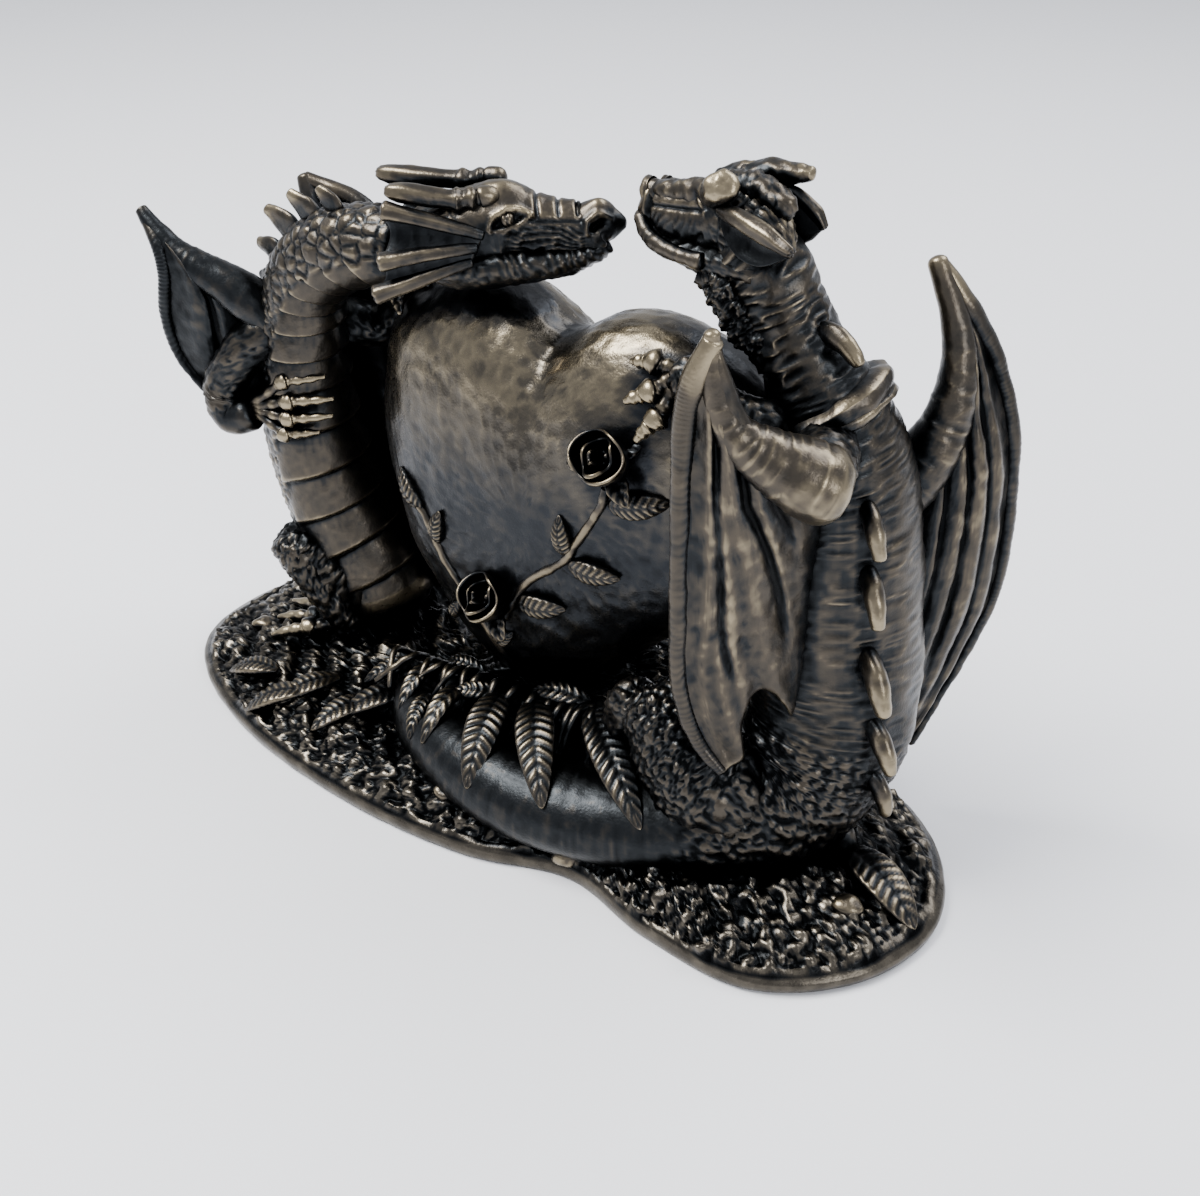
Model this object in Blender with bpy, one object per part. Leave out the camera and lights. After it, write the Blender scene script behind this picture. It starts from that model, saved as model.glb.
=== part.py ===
"""Two dragons nose to nose over a heart with roses, cast in one with the ground they stand on.

X runs along the ground from the left dragon to the right one, Y to the back and Z up.
The origin is the middle of the flat underside. Sizes are in millimetres until a mesh is made.
"""

import math

import bmesh
import bpy
import numpy as np
from mathutils import Matrix, Vector
from mathutils.bvhtree import BVHTree

MM = 0.001
WELD = 1e-6
KEPT_FACES = 0.58

# The cast ground
PLINTH_LENGTH = 185.0
PLINTH_WIDTH = 74.0
RIM_HEIGHT = 3.6
GROUND_HEIGHT = 9.0
MOUND_HEIGHT = 11.0
BANK_HEIGHT = 9.0
EARTH_BUMP = 0.9
EARTH_LUMP = 20.3  # from one lump of the earth to the next

# The heart
HEART_WIDTH = 90.0
HEART_HEIGHT = 88.0
HEART_DEPTH = 36.0
HEART_ABOVE_GROUND = 5.0

# The dragons are posed by stations, in millimetres of a figure 130 tall
FIGURE_HEIGHT = 130.0
FIGURE = FIGURE_HEIGHT / 130

MEMBRANE = 2.4
SPIKE_HEIGHT = 6.5
LEAF_LENGTH = 17.0
LEAF_THICKNESS = 1.6
LEAF_SPRING = 2.5  # how far the roots of the tail's leaves stand off it
ROSE_RADIUS = 5.6
VINE_RADIUS = 1.0
STONE_RADIUS = 2.8

# Where each thing stands on the ground. Both dragons lean on the heart, so they keep their reach from it.
HEART_STAND = (0.024 * PLINTH_LENGTH, 0.12 * PLINTH_WIDTH)
LEFT_STAND = (HEART_STAND[0] - HEART_WIDTH / 2 - 20.49 * FIGURE, HEART_STAND[1])
RIGHT_STAND = (HEART_STAND[0] + HEART_WIDTH / 2 + 12.535 * FIGURE, HEART_STAND[1] + 1.11 * FIGURE)

# The ground's outline from above, as shares of half its length and width, anticlockwise
OUTLINE = [(-1.0, -0.2), (-0.88, -0.62), (-0.6, -0.9), (-0.25, -1.0), (0.06, -0.95), (0.3, -0.77),
           (0.52, -0.88), (0.76, -0.87), (0.94, -0.5), (1.0, 0.05), (0.88, 0.6), (0.6, 0.9),
           (0.2, 1.0), (-0.25, 0.98), (-0.7, 0.95), (-0.95, 0.5)]


def clear_scene():
    for old in list(bpy.data.objects):
        bpy.data.objects.remove(old)


def bronze(name, colour, roughness):
    material = bpy.data.materials.new(name)
    material.use_nodes = True
    shader = material.node_tree.nodes["Principled BSDF"]
    shader.inputs["Base Color"].default_value = (*colour, 1.0)
    shader.inputs["Metallic"].default_value = 1.0
    shader.inputs["Roughness"].default_value = roughness
    return material


def along(rows, t, closed=False):
    """Rows of numbers followed smoothly, from the first at t = 0 to the last at t = 1."""
    rows = np.asarray(rows, float)
    count = len(rows)
    spans = count if closed else count - 1
    at = np.clip(np.asarray(t, float), 0, 1) * spans
    first = np.minimum(at.astype(int), spans - 1)
    share = (at - first)[..., None]
    if closed:
        before, here, after, beyond = (rows[(first + k) % count] for k in (-1, 0, 1, 2))
    else:
        before, here, after, beyond = (rows[np.clip(first + k, 0, count - 1)] for k in (-1, 0, 1, 2))
    slope = 0.5 * (after - before)
    bend = before - 2.5 * here + 2 * after - 0.5 * beyond
    twist = 0.5 * (beyond - before) + 1.5 * (here - after)
    return here + slope * share + bend * share**2 + twist * share**3


def unit(vectors):
    return vectors / np.maximum(np.linalg.norm(vectors, axis=-1, keepdims=True), 1e-9)


def skin(shape, rows, sides):
    """A closed mesh. shape(u, v) places a grid whose u runs from pole to pole and whose v goes once round."""
    bm = bmesh.new()
    bmesh.ops.create_grid(bm, x_segments=rows, y_segments=sides, size=0.5)
    uv = np.array([vert.co[:2] for vert in bm.verts]) + 0.5
    for vert, point in zip(bm.verts, shape(uv[:, 0], uv[:, 1])):
        vert.co = point * MM
    bmesh.ops.remove_doubles(bm, verts=bm.verts, dist=WELD)
    bmesh.ops.triangulate(bm, faces=bm.faces)
    bmesh.ops.recalc_face_normals(bm, faces=bm.faces)
    return bm


class Casting:
    """The shapes that the casting is made of. Each is closed, and one Boolean joins them all."""

    def __init__(self):
        self.members = bpy.data.collections.new("members")
        bpy.context.scene.collection.children.link(self.members)

    def add(self, name, bm):
        mesh = bpy.data.meshes.new(name)
        bm.to_mesh(mesh)
        bm.free()
        member = bpy.data.objects.new(name, mesh)
        member.hide_render = True
        member.display_type = "WIRE"
        self.members.objects.link(member)
        return member


def tube_shape(stations, side, rows, carve=None):
    """The skin of a body or a limb. Each station is x, y, z, half its width along side and half its depth.

    side is a fixed direction, or a list of angles about Z, one for each station. A point's turn is 0 on
    the belly, which lies at side x path, and half a turn away on the back. carve(t, turn) scales it.
    """
    stations = np.asarray(stations, float)
    cap = 1.0 / rows
    step = 1e-3

    def frame(t):
        centre = along(stations[:, :3], t)
        path = unit(along(stations[:, :3], t + step) - along(stations[:, :3], t - step))
        if np.ndim(side[0]) == 0 and len(side) == 3:
            across = np.broadcast_to(np.asarray(side, float), path.shape)
        else:
            angle = np.radians(along(np.asarray(side, float), t)[:, 0])
            across = np.stack([np.cos(angle), np.sin(angle), 0 * angle], axis=-1)
        across = unit(across - (across * path).sum(-1, keepdims=True) * path)
        return centre, across, np.cross(across, path), along(stations[:, 3:5], t)

    def shape(u, v):
        t = np.clip((u - cap) / (1 - 2 * cap), 0, 1)
        full = np.clip(np.minimum(u, 1 - u) / cap, 0, 1)
        centre, across, belly, half = frame(t)
        turn = 2 * math.pi * v
        size = full * (carve(t, turn) if carve else 1.0)
        return (centre + (size * half[:, 0] * np.sin(turn))[:, None] * across
                + (size * half[:, 1] * np.cos(turn))[:, None] * belly)

    def point(t, turn, lift=0.0):
        """The skin's point at t and turn, and the way out of it there."""
        centre, across, belly, half = (part[0] for part in frame(np.array([t])))
        out = math.sin(turn) * across + math.cos(turn) * belly
        reach = math.hypot(half[0] * math.sin(turn), half[1] * math.cos(turn))
        return centre + (reach + lift) * out, out

    shape.point = point
    return shape


def ridged(count, reach, depth):
    """Belly plates: each swells from its leading edge, across reach radians to each side of the belly."""
    def carve(t, turn):
        round_belly = np.clip(1.3 - np.abs((turn + math.pi) % (2 * math.pi) - math.pi) / reach, 0, 1)
        saw = (t * count + 0.25) % 1.0
        return 1 + depth * (0.5 - saw) * np.minimum(1, 2 * round_belly)
    return carve


def leaf(root, tip, up, width, thickness, fold=0.25, rows=4, sides=4, arch=0.1):
    """A pointed leaf, folded along its midrib, closed and flat enough to lie on what carries it."""
    root, tip, up = (np.asarray(x, float) for x in (root, tip, up))
    path = tip - root
    side = unit(np.cross(path, up))
    up = unit(np.cross(side, path))

    def shape(u, v):
        turn = 2 * math.pi * v
        swell = np.sin(math.pi * np.clip(u, 0, 1) ** 0.8) ** 0.8
        across = width / 2 * swell * np.sin(turn)
        bow = arch * np.linalg.norm(path) * np.sin(math.pi * u)
        rise = bow + thickness / 2 * swell * np.cos(turn) + fold * np.abs(across)
        return root + u[:, None] * path + across[:, None] * side + rise[:, None] * up

    return skin(shape, rows, sides)


def spike(root, out, lean, height, width, sides=5):
    """A blunt thorn on the skin, leaning the way lean points."""
    root, out, lean = (np.asarray(x, float) for x in (root, out, lean))
    stations = [(*(root - 0.35 * height * out), width, width * 0.8),
                (*(root + 0.1 * height * out), width, width * 0.75),
                (*(root + 0.65 * height * out + 0.25 * height * lean), width * 0.66, width * 0.5),
                (*(root + height * out + 0.55 * height * lean), width * 0.25, width * 0.22)]
    return skin(tube_shape(stations, tuple(lean), 4), 4, sides)


# The ground

def outline_at(v):
    half = np.array([PLINTH_LENGTH / 2, PLINTH_WIDTH / 2])
    return along(OUTLINE, v, closed=True) * half


def ground_rise(x, y):
    """How high the earth lies above the table at a place inside the outline."""
    off = (x - HEART_STAND[0]) / HEART_WIDTH
    back = (y - HEART_STAND[1]) / HEART_DEPTH
    mound = MOUND_HEIGHT * np.exp(-(off / 0.356) ** 2 - ((back - 0.028) / 0.417) ** 2)
    mound += BANK_HEIGHT * np.exp(-((off - 0.178) / 0.222) ** 2 - ((back - 0.333) / 0.306) ** 2)
    wave = 2 * math.pi / EARTH_LUMP
    lumps = np.sin(wave * x + 1.3) * np.cos(1.19 * wave * y) + 0.6 * np.sin(wave * (2.68 * x + 2.29 * y))
    return GROUND_HEIGHT + mound + EARTH_BUMP * lumps


def ground():
    """Flat below, an upright rim, and earth that rises inwards from it."""
    rings = [(0.0, 0.0), (0.985, 0.0), (1.0, 0.2), (1.0, 0.75), (0.985, 1.0)]
    inward = np.array([0.93, 0.82, 0.66, 0.48, 0.24, 0.0])
    rows = len(rings) + len(inward) - 1

    def shape(u, v):
        row = np.round(u * rows).astype(int)
        share = np.array([r for r, _ in rings] + list(inward))[row]
        rim = np.array([h for _, h in rings] + [1.0] * len(inward))[row]
        xy = outline_at(v) * share[:, None]
        slope = np.clip((1 - share) / 0.3, 0, 1)
        earth = RIM_HEIGHT + (ground_rise(xy[:, 0], xy[:, 1]) - RIM_HEIGHT) * np.sin(slope * math.pi / 2)
        z = np.where(row < len(rings), rim * RIM_HEIGHT, earth)
        return np.column_stack([xy, z])

    return skin(shape, rows, 40)


# The heart

# The heart's outline from the notch, clockwise seen from the front, as shares of half its width and of its
# height. Its foot leans towards the left dragon.
HEART_OUTLINE = [(0.0, 0.365), (0.22, 0.425), (0.5, 0.44), (0.78, 0.385), (0.96, 0.26), (1.0, 0.1), (0.93, -0.06),
                 (0.76, -0.19), (0.56, -0.29), (0.32, -0.41), (0.06, -0.52), (-0.18, -0.575), (-0.45, -0.53),
                 (-0.68, -0.42), (-0.86, -0.29), (-0.96, -0.14), (-1.0, 0.02), (-0.97, 0.2), (-0.85, 0.34),
                 (-0.62, 0.425), (-0.38, 0.445), (-0.16, 0.415)]
HEART_LOW = 0.575  # share of its height that lies below its middle
HEART_FULL = 2.3   # how square the heart's belly is from front to back


def heart_middle():
    return np.array([*HEART_STAND, GROUND_HEIGHT + HEART_ABOVE_GROUND + HEART_LOW * HEART_HEIGHT])


def heart_shape(u, v):
    x, z = along(HEART_OUTLINE, v, closed=True).T
    deep = -np.cos(math.pi * u)
    share = np.clip(1 - np.abs(deep) ** HEART_FULL, 0, 1) ** (1 / HEART_FULL)
    across = np.column_stack([x * HEART_WIDTH / 2, deep * HEART_DEPTH / 2, z * HEART_HEIGHT])
    across[:, 0] *= share
    across[:, 2] *= share
    return heart_middle() + across


def on_heart(x, z, lift=0.0):
    """The point of the heart's front at x and z from its middle, and the way out of it there."""
    ox, oz = along(HEART_OUTLINE, np.linspace(0, 1, 241), closed=True).T
    ox, oz = ox * HEART_WIDTH / 2, oz * HEART_HEIGHT
    angle = np.arctan2(ox, oz)
    order = np.argsort(angle)

    def depth(px, pz):
        reach = np.interp(math.atan2(px, pz), angle[order], np.hypot(ox, oz)[order])
        share = min(math.hypot(px, pz) / reach, 0.98)
        return -HEART_DEPTH / 2 * (1 - share**HEART_FULL) ** (1 / HEART_FULL)

    step = 0.5
    out = unit(np.array([depth(x + step, z) - depth(x - step, z), -2 * step,
                         depth(x, z + step) - depth(x, z - step)]))
    return heart_middle() + np.array([x, depth(x, z), z]) + lift * out, out


def heart_place(x, z):
    """A place given in millimetres of a heart 90 wide and 88 high, on this one."""
    return x * HEART_WIDTH / 90, z * HEART_HEIGHT / 88


def rose(casting, name, x, z, tilt):
    """A rose on the heart: a rolled cup round a bud."""
    root, out = on_heart(*heart_place(x, z))
    out = unit(out + np.asarray(tilt, float))
    side = unit(np.cross(out, (0.3, 0.0, 1.0)))
    other = np.cross(out, side)
    cup = [(0.0, -0.5), (0.55, -0.5), (0.8, 0.1), (1.0, 0.75), (1.03, 1.05), (0.92, 1.12),
           (0.78, 0.95), (0.62, 0.55), (0.0, 0.5)]
    bud = [(0.0, 0.3), (0.42, 0.3), (0.46, 0.8), (0.34, 1.05), (0.0, 1.0)]

    def turned(profile):
        table = np.array(profile) * ROSE_RADIUS

        def shape(u, v):
            radius, rise = table[np.round(u * (len(profile) - 1)).astype(int)].T
            turn = 2 * math.pi * v
            return (root + rise[:, None] * out + (radius * np.cos(turn))[:, None] * side
                    + (radius * np.sin(turn))[:, None] * other)
        return shape

    casting.add(f"{name}_cup", skin(turned(cup), len(cup) - 1, 10))
    casting.add(f"{name}_bud", skin(turned(bud), len(bud) - 1, 6))
    for turn in (0.6, 2.7, 4.4):
        way = math.cos(turn) * side + math.sin(turn) * other
        casting.add(f"{name}_sepal_{turn:.0f}",
                    leaf(root + 0.3 * ROSE_RADIUS * way, root + 1.6 * ROSE_RADIUS * way,
                         out, 0.8 * ROSE_RADIUS, LEAF_THICKNESS))


def vine(casting, name, places, radius):
    """A stem pressed on the heart's front through places given from its middle."""
    rows = []
    for x, z in places:
        point, _ = on_heart(*heart_place(x, z), 0.1 * radius)
        rows.append((*point, radius, radius))
    count = 2 * (len(rows) - 1)
    casting.add(name, skin(tube_shape(rows, (0.0, -1.0, 0.0), count), count, 4))


def heart_leaf(casting, name, x, z, heading, length):
    """A leaf that lies on the heart's front, pointing along heading degrees from +X."""
    reach = length * np.array([math.cos(math.radians(heading)), math.sin(math.radians(heading))])
    root, out = on_heart(*heart_place(x, z))
    tip, _ = on_heart(*heart_place(x + reach[0], z + reach[1]), 0.19 * LEAF_THICKNESS)
    width = 0.42 * np.linalg.norm(tip - root)
    casting.add(name, leaf(root, tip, out, width, 1.38 * LEAF_THICKNESS, fold=-0.1))


def heart(casting):
    casting.add("heart", skin(heart_shape, 14, 30))
    rose(casting, "low_rose", -8.5, -22.0, (-0.1, 0.0, 0.9))
    rose(casting, "high_rose", 18.5, 17.5, (-0.1, 0.0, 0.6))
    vine(casting, "right_vine", [(18, 13), (17, 8.5), (11.8, -1), (9, -5.5), (1.2, -12.5), (-3, -19), (-6, -25)],
         VINE_RADIUS)
    vine(casting, "left_vine", [(-28.4, -7), (-25, -10.5), (-21.5, -18), (-15, -26), (-10.5, -35), (-8, -43)],
         VINE_RADIUS)
    for number, (x, z, heading, length) in enumerate(
            [(-27, -8, 131, 10), (-23.5, -14, 76, 9), (-21, -29, 240, 7), (18.5, 9.5, 15, 12), (10, -4, 98, 9),
             (10, -5.5, 0, 11), (-3, -19, 10, 12), (-10.5, -34, 45, 8)]):
        heart_leaf(casting, f"heart_leaf_{number}", x, z, heading, length)


# The dragons

class Stand:
    """Turns stations measured from a figure's stand and the ground into places in the casting."""

    def __init__(self, place):
        self.origin = np.array([*place, GROUND_HEIGHT])

    def at(self, rows):
        rows = np.array(rows, float) * FIGURE
        rows[:, :3] += self.origin
        return rows

    def point(self, x, y, z):
        return self.origin + FIGURE * np.array([x, y, z], float)


LEFT_TRUNK = [(9, 6, -1, 12.5, 11), (4, 4, 13, 12.5, 13), (-1, 0, 30, 11.7, 12.5), (-2, -4, 48, 10.5, 11.2),
              (0.5, -7, 66, 9.2, 9.8), (4.5, -9, 79, 8, 8.4), (9.5, -11, 89, 7.3, 7.7), (18, -12.5, 96, 7.2, 7.5),
              (28, -13, 100, 7, 7), (39, -12, 101.5, 6, 6)]
LEFT_TURNS = [(62,), (66,), (70,), (72,), (76,), (82,), (92,), (105,), (114,), (114,)]

RIGHT_TRUNK = [(-96, -14, 0, 2.5, 2.5), (-82, -25, 1.5, 6.5, 6.5), (-66, -31, 2, 8.5, 8.5),
               (-49, -32, 2, 10, 8.8), (-32, -28, 2.5, 11, 9.3), (-16, -19, 4.5, 13, 11),
               (-4, -8, 10, 15, 14), (0, -2, 20, 16, 14.5), (0, 1, 33, 15.5, 14), (-1.5, 2, 49, 14.5, 13.5),
               (-3, 2, 65, 13.5, 12.8), (-5, 1, 77, 12, 11.8), (-7.8, 0, 86, 9.6, 9.6), (-11.5, -0.7, 93, 7.6, 7.8),
               (-15.5, -1, 100, 6.8, 7), (-19.5, -1.8, 107, 6.6, 7), (-25, -2.2, 112.5, 6, 6)]
RIGHT_TURNS = [(-80,), (-78,), (-84,), (-90,), (-76,), (-70,), (-90,), (-115,), (-130,), (-136,), (-136,),
               (-132,), (-122,), (-114,), (-108,), (-105,), (-104,)]

# A head's stations run from the nape to the beak: forward, half width, top, bottom
SKULL = [(-6, 5.5, 5, -6), (1, 7.2, 8.2, -6), (7, 7.6, 9.0, -4.4), (12, 6.6, 7.6, -3.6), (17, 5.2, 5.8, -3.2),
         (22, 4.6, 4.9, -3), (26.5, 4.6, 5.6, -2.8), (30, 3.2, 3.6, -2.4), (32.2, 1.0, 1.2, -1.6)]
JAW = [(-4, 5.0, -3, -9), (2, 6.0, -3, -11), (9, 5.4, -3.2, -10.2), (16, 4.6, -3.2, -8.4),
       (22, 4.0, -2.8, -7.2), (27, 2.8, -2.4, -6.0), (29.5, 1.2, -2.6, -4.6)]


class Head:
    """Places things in a head's own frame: forward along the snout, left and up."""

    def __init__(self, stand, nape, yaw, pitch, roll, size=1.0):
        turn = (Matrix.Rotation(math.radians(yaw), 3, "Z") @ Matrix.Rotation(math.radians(-pitch), 3, "Y")
                @ Matrix.Rotation(math.radians(roll), 3, "X"))
        self.turn = size * np.array(turn)
        self.size = size * FIGURE
        self.nape = stand.point(*nape)

    def at(self, forward, left, up):
        return self.nape + FIGURE * (self.turn @ np.array([forward, left, up], float))

    def way(self, forward, left, up):
        return self.turn @ np.array([forward, left, up], float)

    def tube(self, rows, side=(0.0, 1.0, 0.0), count=None, sides=5):
        """A tube through rows of forward, left, up, half width and half depth."""
        stations = [(*self.at(*row[:3]), row[3] * self.size, row[4] * self.size) for row in rows]
        count = count or len(rows) + 1
        return skin(tube_shape(stations, tuple(self.way(*side)), count), count, sides)

    def loft(self, sections, sides):
        rows = [(f, 0.0, (top + low) / 2, half, (top - low) / 2) for f, half, top, low in sections]
        return self.tube(rows, count=len(rows) + 1, sides=sides)


def head(casting, name, pose, horn, fan, root, horn_radius):
    """Skull, jaw, brows, nostrils, eyes, a pair of horns and a fan of spines behind each jaw hinge."""
    casting.add(f"{name}_skull", pose.loft(SKULL, 8))
    casting.add(f"{name}_jaw", pose.loft(JAW, 8))
    for side_name, left in (("left", 1), ("right", -1)):
        brow = [(1, 5.2 * left, 7.0, 2.0, 2.0), (8, 5.6 * left, 6.6, 1.9, 1.9), (14, 4.6 * left, 5.0, 1.5, 1.5),
                (19, 3.8 * left, 4.2, 0.8, 0.8)]
        casting.add(f"{name}_{side_name}_brow", pose.tube(brow, count=4))
        nostril = [(24.5, 2.6 * left, 3.6, 1.4, 1.4), (26.6, 3.0 * left, 4.3, 2.2, 2.0),
                   (29, 2.6 * left, 3.4, 1.3, 1.2)]
        casting.add(f"{name}_{side_name}_nostril", pose.tube(nostril, count=4))
        eye = [(9.5, 5.6 * left, 2.4, 0.6, 0.6), (11, 6.2 * left, 2.4, 1.6, 1.5), (12.7, 5.4 * left, 2.2, 0.6, 0.6)]
        casting.add(f"{name}_{side_name}_eye", pose.tube(eye, count=4))
        rows = [(f, l * left, u, r * horn_radius, r * horn_radius) for f, l, u, r in horn]
        casting.add(f"{name}_{side_name}_horn", pose.tube(rows, count=len(rows) + 1, sides=6))
        hinge = (root[0], root[1] * left, root[2])
        for number, (f, l, u, radius) in enumerate(fan):
            tip = (f, l * left, u)
            middle = [0.5 * (a + b) for a, b in zip(hinge, tip)]
            rows = [(*hinge, 0.9, 0.9), (*middle, radius * 0.85, radius * 0.85), (*tip, radius, radius)]
            casting.add(f"{name}_{side_name}_fan_{number}", pose.tube(rows, count=4))
        casting.add(f"{name}_{side_name}_web", fan_web(pose, hinge, fan, left))


def fan_web(pose, root, fan, left):
    """The skin stretched between the fan's spines. Half a step of turn keeps its two faces apart at the rim."""
    tips = [np.array((f, l * left, u)) for f, l, u, _ in fan]
    root = np.array(root, float)
    thick = 0.9
    sides = 10

    def shape(u, v):
        turn = 2 * math.pi * (v + 0.5 / sides)
        spread = 0.5 - 0.5 * np.cos(turn)
        reach = u * (0.94 - 0.1 * np.sin(math.pi * spread * (len(tips) - 1)) ** 2)
        edge = along(np.array(tips), spread)
        flat = root + reach[:, None] * (edge - root)
        lift = thick * np.sin(turn) * np.sin(math.pi * np.clip(u, 0, 1)) * (1 - 0.4 * u)
        inside = flat + lift[:, None] * np.array([0.0, 1.0, 0.0])
        return np.array([pose.at(*point) for point in inside])

    return skin(shape, 3, sides)


def wing(casting, name, stand, arm, edge, root, hem, folds, facing):
    """An arm, a finger bone down the outer edge and a folded membrane from it to the body.

    edge and root run from top to bottom, on the finger bone's side and on the body's. hem is how far down
    them the membrane reaches, from the bone to the body. facing points out of the membrane's outer face.
    """
    arm_rows, edge_rows, root_rows = stand.at(arm), stand.at(edge), stand.at(root)
    facing = unit(np.asarray(facing, float))
    hem = np.array(hem)[:, None]
    sides = 24
    casting.add(f"{name}_arm", skin(tube_shape(arm_rows, tuple(facing), 7), 7, 7))
    casting.add(f"{name}_finger", skin(tube_shape(edge_rows, tuple(facing), 8), 8, 5))

    def shape(u, v):
        turn = 2 * math.pi * (v + 0.5 / sides)
        across = 0.5 - 0.5 * np.cos(turn)
        down = u * (1 - (1 - along(hem, across)[:, 0]) * u**2)
        outer = along(edge_rows[:, :3], down)
        inner = along(root_rows[:, :3], down)
        flat = outer + across[:, None] * (inner - outer)
        ripple = 1.5 * np.cos(2 * math.pi * folds * across) * np.sin(math.pi * across) * np.sin(math.pi * u) ** 0.7
        belly = 3.0 * np.sin(math.pi * across) * np.sin(math.pi * u)
        closing = np.sqrt(np.clip(1 - (2 * u - 1) ** 8, 0, 1))
        thick = MEMBRANE / 2 * closing * np.sign(np.sin(turn)) * np.sqrt(np.abs(np.sin(turn)))
        return flat + (FIGURE * (ripple + belly) + thick)[:, None] * facing

    casting.add(f"{name}_membrane", skin(shape, 8, sides))


def claw_hand(casting, name, wrist, fingers, radius, out):
    """Fingers that run from the wrist over a knuckle to a claw. Each is a knuckle and a tip."""
    for number, (knuckle, tip) in enumerate(fingers):
        wrist_row = np.asarray(wrist, float)
        knuckle, tip = np.asarray(knuckle, float), np.asarray(tip, float)
        rows = [(*wrist_row, radius, radius), (*(0.45 * wrist_row + 0.55 * knuckle + 0.3 * out), radius, radius * 0.9),
                (*knuckle, radius * 1.15, radius * 1.1), (*(0.6 * knuckle + 0.4 * tip + 0.3 * out), radius * 0.8,
                                                          radius * 0.7),
                (*tip, radius * 0.3, radius * 0.3)]
        casting.add(f"{name}_finger_{number}", skin(tube_shape(rows, tuple(out), 6), 6, 4))


def limb(casting, name, stand, rows, side, sides=6):
    count = len(rows) + 2
    casting.add(name, skin(tube_shape(stand.at(rows), side, count), count, sides))


def back_spikes(casting, name, trunk, places, height):
    """Thorns along the back. Each place is how far along the trunk, and a share of the full height."""
    for number, (t, share) in enumerate(places):
        root, out = trunk.point(t, math.pi)
        ahead, _ = trunk.point(t - 0.02, math.pi)
        lean = unit(ahead - root)
        casting.add(f"{name}_{number}", spike(root, out, lean, height * share, 2.3 * FIGURE * share**0.5))


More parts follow.
